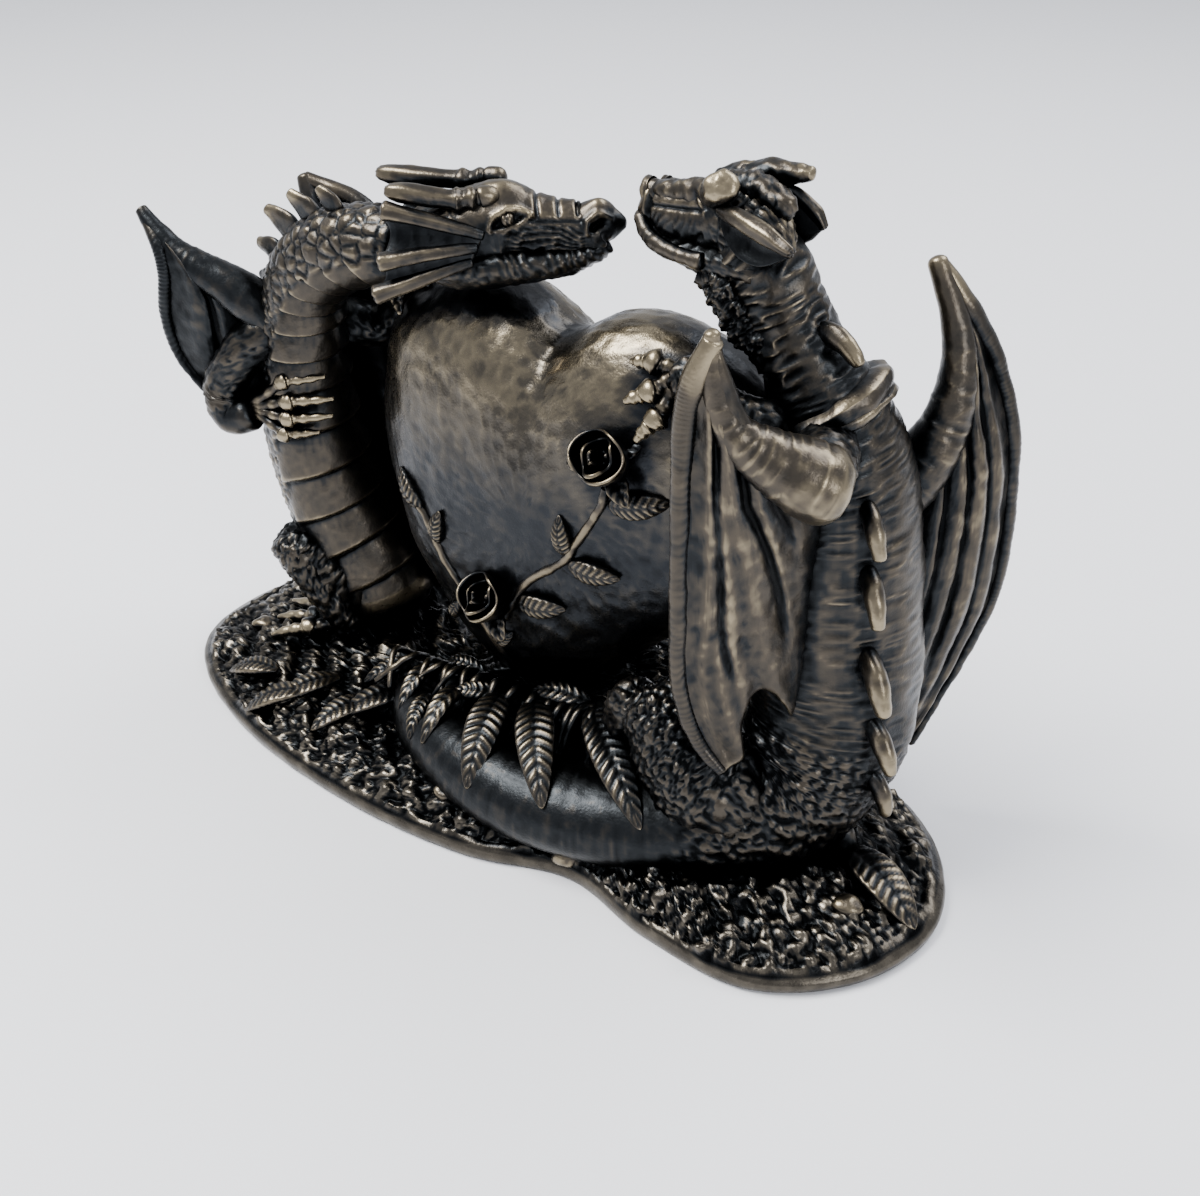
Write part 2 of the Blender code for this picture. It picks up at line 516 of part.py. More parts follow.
def left_dragon(casting):
    """Sits upright at the left end, a hand on its belly and the other on the heart."""
    stand = Stand(LEFT_STAND)
    trunk = tube_shape(stand.at(LEFT_TRUNK), LEFT_TURNS, 32, ridged(15, 1.25, 0.11))
    casting.add("left_trunk", skin(trunk, 32, 12))
    pose = Head(stand, (44.2, -10.8, 103.6), yaw=30, pitch=4, roll=-17)
    horn = [(9, 4.6, 6.2, 1.1), (6, 5.2, 7.0, 1.5), (3.5, 5.4, 7.3, 1.25), (2.5, 5.5, 7.4, 1.0), (-4, 6.2, 8.8, 1.1),
            (-11, 7.0, 10.2, 0.8)]
    fan = [(-12.0, 8.4, 5.6, 2.1), (-14.4, 9.2, -1.9, 2.0), (-15.0, 8.0, -8.2, 1.9)]
    head(casting, "left", pose, horn, fan, (9.0, 5.6, -1.5), 1.9)
    back_spikes(casting, "left_spike", trunk,
                [(0.16, 0.8), (0.25, 0.9), (0.34, 0.9), (0.43, 0.9), (0.51, 0.9), (0.58, 0.9), (0.65, 1.0),
                 (0.72, 1.1), (0.79, 1.0)], SPIKE_HEIGHT * FIGURE)

    near = dict(facing=(0.8, -0.55, 0.1), hem=(1, 0.93, 0.9, 0.95, 1), folds=2.5,
                arm=[(3, -10, 76, 5.5, 5.2), (-7, -15, 84, 4.6, 4.4), (-16, -18.5, 89.5, 3.2, 3), (-21.5, -20, 94.5, 2, 2),
                     (-25.5, -20, 98.5, 1.1, 1.1)],
                edge=[(-25, -20, 97.5, 1.2, 1.2), (-19.8, -21.5, 92, 1.8, 1.8), (-19, -22, 86, 1.8, 1.8),
                      (-20.8, -22, 78, 1.7, 1.7), (-20, -21, 68, 1.5, 1.5), (-12, -18.5, 58, 1.2, 1.2)],
                root=[(-24, -20, 96), (-11, -16, 86), (-7, -13, 78), (-5, -12.5, 70), (-5, -12.5, 64), (-6, -14, 57)])
    far = dict(facing=(0.15, 0.98, 0.05), hem=(1, 0.95, 1, 0.94, 1), folds=2.5,
               arm=[(4, -3, 76, 6, 5.5), (-1, 4, 82, 5, 4.6), (-5, 8, 91, 3.4, 3.2), (-9, 9, 101, 1.4, 1.4)],
               edge=[(-9, 9, 100, 1.4, 1.4), (4, 13, 95, 2.0, 2.0), (17, 15, 82, 1.9, 1.9), (27, 15, 64, 1.8, 1.8),
                     (33, 14, 44, 1.7, 1.7), (34, 11, 24, 1.4, 1.4), (30, 8, 6, 1.2, 1.2)],
               root=[(-9, 8, 98), (-5, 6, 88), (-5, 5, 76), (-6, 6, 62), (-6, 8, 46), (-2, 11, 26), (3, 12, 8)])
    for side_name, parts in (("left_near_wing", near), ("left_far_wing", far)):
        wing(casting, side_name, stand, **parts)

    limb(casting, "left_near_arm", stand, [(1, -12, 78, 5, 4.8), (-6, -17, 71, 4.6, 4.3), (-11, -19, 63, 4.3, 4),
                                           (-9, -19.5, 57.5, 4, 4), (-3, -18, 59.5, 3.5, 3.8)], (0.0, 0.0, 1.0))
    wrist = stand.point(-4, -17.5, 59.5)
    ends = [((4, -16, 65.5), (11, -11.5, 66)), ((6, -16.5, 61.5), (13, -12, 60.5)), ((4, -17, 56.5), (11, -12.5, 54.5))]
    claw_hand(casting, "left_near_hand", wrist,
              [(stand.point(*knuckle), stand.point(*tip)) for knuckle, tip in ends], 2.0 * FIGURE,
              np.array([0.6, -0.8, 0.0]))
    limb(casting, "left_far_arm", stand, [(4, -1, 76, 5.5, 5), (12, 6, 74, 4.6, 4.4), (19, 5, 82, 4, 3.8),
                                          (24, 1, 88, 3.4, 3.2), (28.5, -0.5, 90, 2.6, 2.4)], (0.0, 0.0, 1.0))
    wrist = stand.point(25, 0, 88)
    ends = [((31, -3, 92), (36, -5, 91)), ((31, 1, 93), (37, 0, 93)), ((28, -6, 88), (32, -9.5, 86))]
    claw_hand(casting, "left_far_hand", wrist,
              [(stand.point(*knuckle), stand.point(*tip)) for knuckle, tip in ends], 1.7 * FIGURE,
              np.array([0.0, -0.3, 1.0]))

    for side_name, sign in (("near", -1), ("far", 1)):
        mid = 2 if sign < 0 else 3
        limb(casting, f"left_{side_name}_thigh", stand,
             [(6, mid + sign * 2, 4, 8, 8), (0, mid + sign * 8, 14, 8, 8), (-4, mid + sign * 13, 22, 6.5, 6.5),
              (-5, mid + sign * 15, 26, 4.5, 4.5)], (0.0, 0.0, 1.0))
        limb(casting, f"left_{side_name}_shin", stand,
             [(-5, mid + sign * 15, 25, 5, 5), (0, mid + sign * 14, 15, 4.2, 4.4), (5, mid + sign * 12, 6, 3.6, 4),
              (6, mid + sign * 11, 2, 3.4, 3.6)], (0.0, 1.0, 0.0))
        ankle = stand.point(5, mid + sign * 11, 3)
        ends = [((-3, mid + sign * 9, 2.5), (-15, mid + sign * 9, 0)),
                ((-3, mid + sign * 13, 2.5), (-13, mid + sign * 16, 0)),
                ((-1, mid + sign * 17, 2.5), (-9, mid + sign * 22, 0))]
        claw_hand(casting, f"left_{side_name}_foot", ankle,
                  [(stand.point(*knuckle), stand.point(*tip)) for knuckle, tip in ends], 2.2 * FIGURE,
                  np.array([0.0, 0.0, 1.0]))


def right_dragon(casting):
    """Rears up at the right end with its tail laid forward along the front of the heart."""
    stand = Stand(RIGHT_STAND)
    trunk = tube_shape(stand.at(RIGHT_TRUNK), RIGHT_TURNS, 32, ridged(16, 1.2, 0.06))
    casting.add("right_trunk", skin(trunk, 32, 12))
    pose = Head(stand, (-19.5, -2.9, 113.9), yaw=171, pitch=-2, roll=12, size=0.84)
    horn = [(10, 4.6, 6.0, 1.1), (7, 5.4, 6.8, 1.5), (2, 6.0, 7.4, 1.4), (-3, 6.8, 8.6, 0.9)]
    fan = [(-12.5, 8.4, -2.0, 1.9), (-8, 7.4, -8.0, 1.0)]
    head(casting, "right", pose, horn, fan, (6.5, 5.8, 1.0), 2.0)
    beard = stand.at([(-15, -2, 92, 4.5, 3.5), (-20, -2.4, 98, 5.6, 4.6), (-24.5, -2.8, 103.5, 5.8, 4.6),
                      (-29, -3, 108, 4.4, 4)])
    casting.add("right_beard", skin(tube_shape(beard, (0.0, 1.0, 0.0), 6), 6, 8))
    collar = stand.at([(-6, 0.6, 84, 10.6, 10.6), (-7.6, 0.2, 87, 11.2, 11), (-9, -0.2, 89.5, 9.4, 9.6)])
    casting.add("right_collar", skin(tube_shape(collar, [(-118,), (-116,), (-114,)], 5), 5, 14))
    back_spikes(casting, "right_spike", trunk,
                [(0.375, 0.8), (0.415, 0.9), (0.455, 1.0), (0.51, 1.0), (0.56, 1.0), (0.61, 1.0), (0.66, 1.0),
                 (0.835, 0.9)], SPIKE_HEIGHT * FIGURE)

    near = dict(facing=(0.59, -0.81, 0.1), hem=(1, 0.98, 0.86, 0.86, 0.9, 0.95, 1), folds=3.0,
                arm=[(4, -17, 81.5, 6.2, 5.8), (0, -20.5, 84, 6.9, 6.2), (-5.5, -24, 88, 5.7, 5.3),
                     (-10.5, -27, 93, 4.2, 4), (-13.5, -28.5, 100, 3, 3), (-14, -29.2, 108, 1.3, 1.3)],
                edge=[(-13.5, -29, 106, 1.6, 1.6), (-16, -30, 100, 2.4, 2.3), (-17, -30.5, 93, 2.4, 2.3),
                      (-16.6, -31.5, 80, 2.1, 2), (-16.2, -31.5, 61, 1.9, 1.9), (-16, -30.5, 44, 1.7, 1.7),
                      (-12.5, -30, 33, 1.5, 1.5), (-7, -29.5, 27, 0.9, 0.9)],
                root=[(-12, -28, 103), (-6.5, -24.5, 90), (-1, -17, 81), (-1.3, -7.5, 70), (-1.8, -8, 56),
                      (-1.2, -9, 42), (-1, -11.5, 30)])
    far = dict(facing=(0.81, -0.55, 0.05), hem=(1, 0.98, 0.93, 0.96, 1), folds=3.0,
               arm=[(2, 9, 68, 5, 5), (4.5, 12, 71, 5.8, 5.4), (8.3, 15.5, 79, 5.6, 5.2), (9.6, 18, 88, 4.8, 4.4),
                    (7, 19, 97, 3.4, 3.2), (0, 20, 106.5, 1.3, 1.3)],
               edge=[(1, 20, 105, 1.6, 1.6), (6.3, 22, 98.5, 2.2, 2.2), (11.5, 25, 89, 2.2, 2.2), (16.3, 27, 75, 2.1, 2.1),
                     (18.5, 28, 51, 1.9, 1.9), (17, 27, 35, 1.6, 1.6), (10, 20, 6, 1.0, 1.0)],
               root=[(2.5, 19, 103), (8, 16, 86), (5.5, 12, 72), (6.5, 10, 60), (7, 9.5, 48), (7, 10, 32),
                     (7, 15, 11)])
    for side_name, parts in (("right_near_wing", near), ("right_far_wing", far)):
        wing(casting, side_name, stand, **parts)

    limb(casting, "right_near_shoulder", stand, [(-5, -3, 80, 6, 6), (-3, -10, 82, 6, 6), (0, -18, 83, 5.6, 5.4)],
         (0.0, 0.0, 1.0))
    limb(casting, "right_far_shoulder", stand, [(-3, 4, 72, 6, 6), (1, 9, 72, 5.4, 5.4), (4, 13, 72, 5, 5)],
         (0.0, 0.0, 1.0))
    limb(casting, "right_near_arm", stand, [(-10, -8, 84, 5, 5), (-18, -13, 86, 4.4, 4.4), (-25, -13, 90, 4, 4),
                                            (-29, -12, 91, 3.4, 3.4)], (0.0, 0.0, 1.0))
    wrist = stand.point(-28, -12, 91)
    ends = [((-33, -13, 92), (-38, -13, 91)), ((-32, -16, 88), (-36, -18, 86)), ((-30, -17, 84), (-33, -19, 80))]
    claw_hand(casting, "right_near_hand", wrist,
              [(stand.point(*knuckle), stand.point(*tip)) for knuckle, tip in ends], 1.9 * FIGURE,
              np.array([-0.3, -0.6, 0.7]))
    limb(casting, "right_near_thigh", stand, [(-5, -13, 8, 13, 12), (-15, -19.5, 14, 11.5, 11), (-23, -20, 23, 9, 9),
                                              (-29, -19, 30, 6, 6)], (0.0, 0.0, 1.0))
    limb(casting, "right_near_shin", stand, [(-30, -21, 29, 5.4, 5.2), (-33, -19, 20, 5, 5), (-36, -17, 11, 4.4, 4.6),
                                             (-40, -16, 6, 3.6, 3.6)], (0.0, 1.0, 0.0))
    ankle = stand.point(-38, -16, 8)
    ends = [((-44, -19, 11), (-50, -21, 8)), ((-45, -15, 11), (-52, -14, 8)), ((-43, -11, 11), (-49, -8, 9))]
    claw_hand(casting, "right_near_foot", ankle,
              [(stand.point(*knuckle), stand.point(*tip)) for knuckle, tip in ends], 2.0 * FIGURE,
              np.array([0.0, 0.0, 1.0]))
    limb(casting, "right_far_thigh", stand, [(-2, 4, 8, 9, 9), (-8, 14, 14, 8, 8), (-14, 18, 22, 6.5, 6.5),
                                             (-18, 19, 27, 4.5, 4.5)], (0.0, 0.0, 1.0))
    limb(casting, "right_far_shin", stand, [(-18, 19, 26, 5, 5), (-18, 18, 14, 4.4, 4.4), (-20, 17, 2, 4, 4)],
         (0.0, 1.0, 0.0))


# Leaves and stones on the ground: place of the tip, heading in degrees, length as a share
GROUND_LEAVES = [(-71, -24, 195, 0.8), (-59, -31, 215, 0.9), (-52, -28, 240, 0.9), (-39, -30, 250, 0.9),
                 (-36, -24, 235, 1.0), (-1, 5, 20, 1.0), (-22, -5, 200, 0.9), (90, -6, -25, 1.2),
                 (-64, 9, -20, 0.9), (-34, 32, 160, 0.9), (16, 20, 200, 0.9)]
TAIL_LEAVES = [(0.15, -70, 0.145, 75, 0.46), (0.19, -65, 0.19, 68, 0.46), (0.225, -60, 0.25, 72, 0.42),
               (0.085, -50, 0.1, 80, 0.36), (0.115, -55, 0.11, 45, 0.36)]
STONES = [(26, -27, 1.0), (12, -29, 0.86), (54, -12, 1.0), (78, -10, 1.07), (-76, -8, 0.93), (-2, -29, 0.93),
          (62, 24, 0.93), (-40, 29, 0.93)]


class Earth:
    """Finds the top of the cast ground under a place."""

    def __init__(self):
        bm = ground()
        self.tree = BVHTree.FromBMesh(bm)
        bm.free()

    def top(self, x, y):
        hit = self.tree.ray_cast(Vector((x * MM, y * MM, 1.0)), Vector((0.0, 0.0, -1.0)))[0]
        return np.array([x, y, hit.z / MM])


def litter(casting):
    """Leaves and stones sunk into the earth. Their places are for a ground 185 long and 74 wide."""
    earth = Earth()
    half = np.array([PLINTH_LENGTH / 185, PLINTH_WIDTH / 74])
    for number, (x, y, heading, share) in enumerate(GROUND_LEAVES):
        tip = earth.top(x * half[0], y * half[1])
        reach = LEAF_LENGTH * share * np.array([math.cos(math.radians(heading)), math.sin(math.radians(heading))])
        root = earth.top(tip[0] - reach[0], tip[1] - reach[1])
        sunk = np.array([0.0, 0.0, 0.56 * LEAF_THICKNESS])
        casting.add(f"ground_leaf_{number}", leaf(root - sunk, tip - 1.5 * sunk, (0, 0, 1),
                                                  0.42 * LEAF_LENGTH * share, 1.62 * LEAF_THICKNESS, fold=0.1))
    for number, (x, y, share) in enumerate(STONES):
        root = earth.top(x * half[0], y * half[1])
        radius = share * STONE_RADIUS
        rows = [(*(root + (0, 0, k * radius)), radius * w, radius * 0.8 * w)
                for k, w in ((-0.9, 0.7), (0.1, 1.0), (0.7, 0.6))]
        casting.add(f"stone_{number}", skin(tube_shape(rows, (1.0, 0.4, 0.0), 4), 4, 6))


def tail_leaves(casting):
    """Leaves that hang over the tail, each from a place on its skin to another."""
    stand = Stand(RIGHT_STAND)
    trunk = tube_shape(stand.at(RIGHT_TRUNK), RIGHT_TURNS, 32)
    for number, (root_t, root_turn, tip_t, tip_turn, share) in enumerate(TAIL_LEAVES):
        root, _ = trunk.point(root_t, math.radians(root_turn), LEAF_SPRING)
        tip, _ = trunk.point(tip_t, math.radians(tip_turn), 0.25 * LEAF_THICKNESS)
        middle, out = trunk.point((root_t + tip_t) / 2, math.radians((root_turn + tip_turn) / 2))
        arch = float((middle - (root + tip) / 2) @ out) / np.linalg.norm(tip - root)
        casting.add(f"tail_leaf_{number}", leaf(root, tip, out, share * LEAF_LENGTH, 1.5 * LEAF_THICKNESS,
                                                fold=0.05, rows=6, arch=arch))


def statue():
    casting = Casting()
    heart(casting)
    left_dragon(casting)
    right_dragon(casting)
    litter(casting)
    tail_leaves(casting)
    mesh = bpy.data.meshes.new("dragon_statue")
    bm = ground()
    bm.to_mesh(mesh)
    bm.free()
    mesh.materials.append(bronze("antiqued_bronze", (0.22, 0.20, 0.17), 0.38))
    whole = bpy.data.objects.new("dragon_statue", mesh)
    bpy.context.scene.collection.objects.link(whole)
    join = whole.modifiers.new("join", "BOOLEAN")
    join.operation = "UNION"
    join.operand_type = "COLLECTION"
    join.collection = casting.members
    # The exact solver leaves four-faced edges where the left arm grazes its wing. This one closes them.
    join.solver = "MANIFOLD"
    whole.modifiers.new("triangles", "TRIANGULATE")
    thin = whole.modifiers.new("thin", "DECIMATE")
    thin.ratio = KEPT_FACES
    return whole


clear_scene()
statue()
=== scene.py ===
# %% [markdown]
# A cast statue: two dragons nose to nose over a heart, finished as antiqued bronze. The casting is one solid
# in the CAD model. Here the same forms are modelled again, finely enough to carry the relief that a sculptor
# cuts into the wax: belly plates, scales, folds, veins and rubble. Each form is a grid of faces bent round
# until it closes, because a grid has an even fineness and relief can be laid on it in code. Lengths are in
# millimetres until a mesh is made.

import math

import bmesh
import bpy
import numpy as np
from mathutils import Matrix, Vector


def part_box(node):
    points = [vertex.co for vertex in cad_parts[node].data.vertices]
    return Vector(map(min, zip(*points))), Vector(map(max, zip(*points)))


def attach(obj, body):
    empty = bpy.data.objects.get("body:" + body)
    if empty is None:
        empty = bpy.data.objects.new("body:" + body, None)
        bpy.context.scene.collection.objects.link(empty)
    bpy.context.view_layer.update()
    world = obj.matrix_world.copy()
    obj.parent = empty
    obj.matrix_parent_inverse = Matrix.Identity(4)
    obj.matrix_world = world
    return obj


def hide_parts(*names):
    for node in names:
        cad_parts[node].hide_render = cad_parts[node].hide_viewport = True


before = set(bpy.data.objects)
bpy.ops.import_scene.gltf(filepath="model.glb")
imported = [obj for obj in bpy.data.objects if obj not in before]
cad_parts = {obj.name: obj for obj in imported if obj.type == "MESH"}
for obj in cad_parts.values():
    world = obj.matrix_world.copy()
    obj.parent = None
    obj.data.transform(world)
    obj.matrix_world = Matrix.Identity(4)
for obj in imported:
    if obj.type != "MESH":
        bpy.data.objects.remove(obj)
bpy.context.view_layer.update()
MM = 0.001

# %% [markdown]
# The camera stands where the photographer stood: 22 cm off and 19 cm above the table, looking 35 degrees
# down on the statue from its right front. A 39 mm lens gives the photograph's frame.

# %% Camera
def camera(place, azimuth, down, lens):
    data = bpy.data.cameras.new("camera")
    data.lens = lens
    data.sensor_width = 36.0
    data.clip_start = 0.01
    eye = bpy.data.objects.new("camera", data)
    bpy.context.scene.collection.objects.link(eye)
    eye.location = [MM * c for c in place]
    eye.rotation_euler = (math.radians(90 - down), 0.0, math.radians(azimuth))
    bpy.context.scene.camera = eye


camera((131.84, -171.86, 192.0), azimuth=34.0, down=35.0, lens=39.0)
print("camera", [round(c, 3) for c in bpy.context.scene.camera.location])

# %% [markdown]
# These are the casting's own numbers: the sizes of the ground and the heart, and where the heart and the two
# figures stand. The two outlines are shares of those sizes.

# %% Named sizes
PLINTH_LENGTH = 185.0
PLINTH_WIDTH = 74.0
RIM_HEIGHT = 3.6
GROUND_HEIGHT = 9.0
HEART_WIDTH = 90.0
HEART_HEIGHT = 88.0
HEART_DEPTH = 36.0
HEART_STAND = (4.44, 8.88)
HEART_MIDDLE = np.array([*HEART_STAND, 64.6])
HEART_FULL = 2.3
LEFT_STAND = (-61.05, 8.88)
RIGHT_STAND = (61.975, 9.99)
ROSE_RADIUS = 5.4
LEAF_LENGTH = 17.0
MEMBRANE = 2.4

OUTLINE = [(-1.0, -0.2), (-0.88, -0.62), (-0.6, -0.9), (-0.25, -1.0), (0.06, -0.95), (0.3, -0.77),
           (0.52, -0.88), (0.76, -0.87), (0.94, -0.5), (1.0, 0.05), (0.88, 0.6), (0.6, 0.9),
           (0.2, 1.0), (-0.25, 0.98), (-0.7, 0.95), (-0.95, 0.5)]
HEART_OUTLINE = [(0.0, 0.365), (0.22, 0.425), (0.5, 0.44), (0.78, 0.385), (0.96, 0.26), (1.0, 0.1),
                 (0.93, -0.06), (0.76, -0.19), (0.56, -0.29), (0.32, -0.41), (0.06, -0.52), (-0.18, -0.575),
                 (-0.45, -0.53), (-0.68, -0.42), (-0.86, -0.29), (-0.96, -0.14), (-1.0, 0.02), (-0.97, 0.2),
                 (-0.85, 0.34), (-0.62, 0.425), (-0.38, 0.445), (-0.16, 0.415)]
print("plinth", PLINTH_LENGTH, "x", PLINTH_WIDTH, "heart", HEART_WIDTH, "x", HEART_HEIGHT, "x", HEART_DEPTH)

# %% [markdown]
# A path through stations has to be smooth, or every limb would show its joints. A Catmull-Rom curve passes
# through its stations, so a limb goes where the numbers say.

# %% Following stations
def along(rows, t, closed=False):
    """Rows of numbers followed smoothly, from the first at t = 0 to the last at t = 1."""
    rows = np.asarray(rows, float)
    count = len(rows)
    spans = count if closed else count - 1
    at = np.clip(np.asarray(t, float), 0, 1) * spans
    first = np.minimum(at.astype(int), spans - 1)
    share = (at - first)[..., None]
    if closed:
        before, here, after, beyond = (rows[(first + k) % count] for k in (-1, 0, 1, 2))
    else:
        before, here, after, beyond = (rows[np.clip(first + k, 0, count - 1)] for k in (-1, 0, 1, 2))
    slope = 0.5 * (after - before)
    bend = before - 2.5 * here + 2 * after - 0.5 * beyond
    twist = 0.5 * (beyond - before) + 1.5 * (here - after)
    return here + slope * share + bend * share**2 + twist * share**3


def unit(vectors):
    return vectors / np.maximum(np.linalg.norm(vectors, axis=-1, keepdims=True), 1e-9)


def smooth(value, low, high):
    """0 below low, 1 above high and a soft step between them."""
    share = np.clip((value - low) / (high - low), 0, 1)
    return share * share * (3 - 2 * share)


print("a third of the way round the rim", along(OUTLINE, 1 / 3, closed=True).round(2))

# %% [markdown]
# Relief is a height over the smooth form. Three patterns make nearly all of it. Grain is soft noise, as wax
# has from the fingers. Pebbles are domes with a groove between them, for scales and for rubble. Wrinkles are
# grain drawn out round a body. All are worked out from a point in space, so they have no seam. The numbers
# come from hashing whole cells, so every run gives the same surface.

# %% Grain and pebbles
def hashed(cell, seed):
    """A number from 0 to 1 for each whole cell."""
    x, y, z = (cell[..., k].astype(np.int64) for k in range(3))
    mixed = (x * 73856093) ^ (y * 19349663) ^ (z * 83492791) ^ (seed * 1640531)
    mixed = (mixed ^ (mixed >> 13)) * 1274126177
    return ((mixed ^ (mixed >> 16)) & 0xFFFF) / 65535.0


def grain(points, size, seed=0):
    """Soft noise from -1 to 1 with lumps of about that size."""
    at = points / size
    cell = np.floor(at)
    share = at - cell
    share = share * share * (3 - 2 * share)
    total = np.zeros(len(points))
    for corner in range(8):
        step = np.array([corner & 1, corner >> 1 & 1, corner >> 2 & 1])
        weight = np.prod(np.where(step == 1, share, 1 - share), axis=-1)
        total += weight * hashed(cell + step, seed)
    return 2 * total - 1


def pebbles(points, size, seed=0, jitter=0.8):
    """Domes packed side by side: 1 on top of one, 0 in the groove between two."""
    at = points / size
    cell = np.floor(at)
    nearest = np.full(len(points), 9.0)
    second = np.full(len(points), 9.0)
    for number in range(27):
        step = np.array([number % 3, number // 3 % 3, number // 9]) - 1
        here = cell + step
        spot = here + 0.5 + jitter * (np.stack([hashed(here, seed + k) for k in (1, 2, 3)], -1) - 0.5)
        far = np.linalg.norm(at - spot, axis=-1)
        second = np.minimum(second, np.maximum(nearest, far))
        nearest = np.minimum(nearest, far)
    return np.clip((second - nearest) / 0.55, 0, 1) ** 0.6


def wrinkles(shape, u, v, spacing, reach, seed):
    """Grain drawn out round a tube, spacing from one wrinkle to the next and reach long, from -1 to 1.

    reach is true where the tube is 8 mm in radius, and grows and shrinks with it elsewhere.
    """
    turn = 2 * math.pi * v
    radius = 8.0
    at = np.column_stack([shape.share(u) * shape.length / spacing, radius * np.cos(turn) / reach,
                          radius * np.sin(turn) / reach])
    at[:, 0] += 0.5 * grain(at * (0.3, 0.5, 0.5), 1.0, seed + 1)
    return 1 - 2 * np.abs(grain(at, 1.0, seed)) ** 0.8


def handled(height, size, seed):
    """The relief of wax that was only handled: soft lumps."""
    return lambda points, u, v: height * grain(points, size, seed)


print("grain", grain(np.arange(12.0).reshape(4, 3) / 3, 1.0).round(2), "from -1 to 1")

# %% [markdown]
# One function makes every closed form. A grid is bent round until its sides meet, its two ends are drawn
# together to a pole, and the doubled points are merged. Relief moves each point along the smooth form's
# normal.

# %% Wrapping a grid into a closed form
def skin(shape, rows, sides, relief=None, rub_and_painted_light=0.0):
    """shape(u, v) places the grid, u from pole to pole and v once round. relief(points, u, v) is a height.

    The last argument says how far the patina is rubbed off, and on some pieces where painted light or painted
    shade lies, as a number or as another function of points, u and v.
    """
    bm = bmesh.new()
    bmesh.ops.create_grid(bm, x_segments=rows, y_segments=sides, size=0.5)
    u, v = (np.array([vert.co[:2] for vert in bm.verts]) + 0.5).T
    places = shape(u, v)
    rub_and_light_values = np.broadcast_to(rub_and_painted_light(places, u, v) if callable(rub_and_painted_light) else rub_and_painted_light, u.shape)
    if relief is not None:
        grid = places.reshape(sides + 1, rows + 1, 3)
        down = np.gradient(grid, axis=1)
        wrapped = np.concatenate([grid[-2:-1], grid, grid[1:2]])
        across = 0.5 * (wrapped[2:] - wrapped[:-2])
        out = np.cross(down, across)
        middle = 0.5 * (grid[:-1] + np.roll(grid, -sides // 2, axis=0)[:-1])
        facing = np.sum(out[:-1] * (grid[:-1] - middle))
        out = unit(out).reshape(-1, 3) * (1 if facing > 0 else -1)
        places = places + relief(places, u, v)[:, None] * out
    layer = bm.verts.layers.float.new("rub_and_painted_light")
    for vert, point, shine in zip(bm.verts, (places * MM).tolist(), rub_and_light_values.tolist()):
        vert.co = point
        vert[layer] = shine
    bmesh.ops.remove_doubles(bm, verts=bm.verts, dist=1e-6)
    bmesh.ops.recalc_face_normals(bm, faces=bm.faces)
    if bm.calc_volume(signed=True) < 0:
        bmesh.ops.reverse_faces(bm, faces=bm.faces)
    return bm


class Piece:
    """Gathers closed forms into one mesh, which stands for the casting."""

    made = []

    def __init__(self, name):
        self.name = name
        self.bm = bmesh.new()
        self.bm.verts.layers.float.new("rub_and_painted_light")

    def add(self, form):
        mesh = bpy.data.meshes.new("form")
        form.to_mesh(mesh)
        form.free()
        self.bm.from_mesh(mesh)
        bpy.data.meshes.remove(mesh)

    def tell(self):
        print(self.name, "has", len(self.bm.faces), "faces so far")

    def finish(self, material):
        mesh = bpy.data.meshes.new(self.name)
        self.bm.to_mesh(mesh)
        self.bm.free()
        mesh.polygons.foreach_set("use_smooth", [True] * len(mesh.polygons))
        mesh.materials.append(material)
        piece = bpy.data.objects.new(self.name, mesh)
        bpy.context.scene.collection.objects.link(piece)
        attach(piece, "root")
        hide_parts("dragon_statue")
        Piece.made.append(piece)
        triangles = sum(len(face.vertices) - 2 for face in mesh.polygons)
        print(self.name, triangles, "triangles")


# %% [markdown]
# Bodies, limbs, horns and spines are tubes: a path with a width and a depth at each station. A point's turn
# is 0 on the belly and half a turn away on the back.

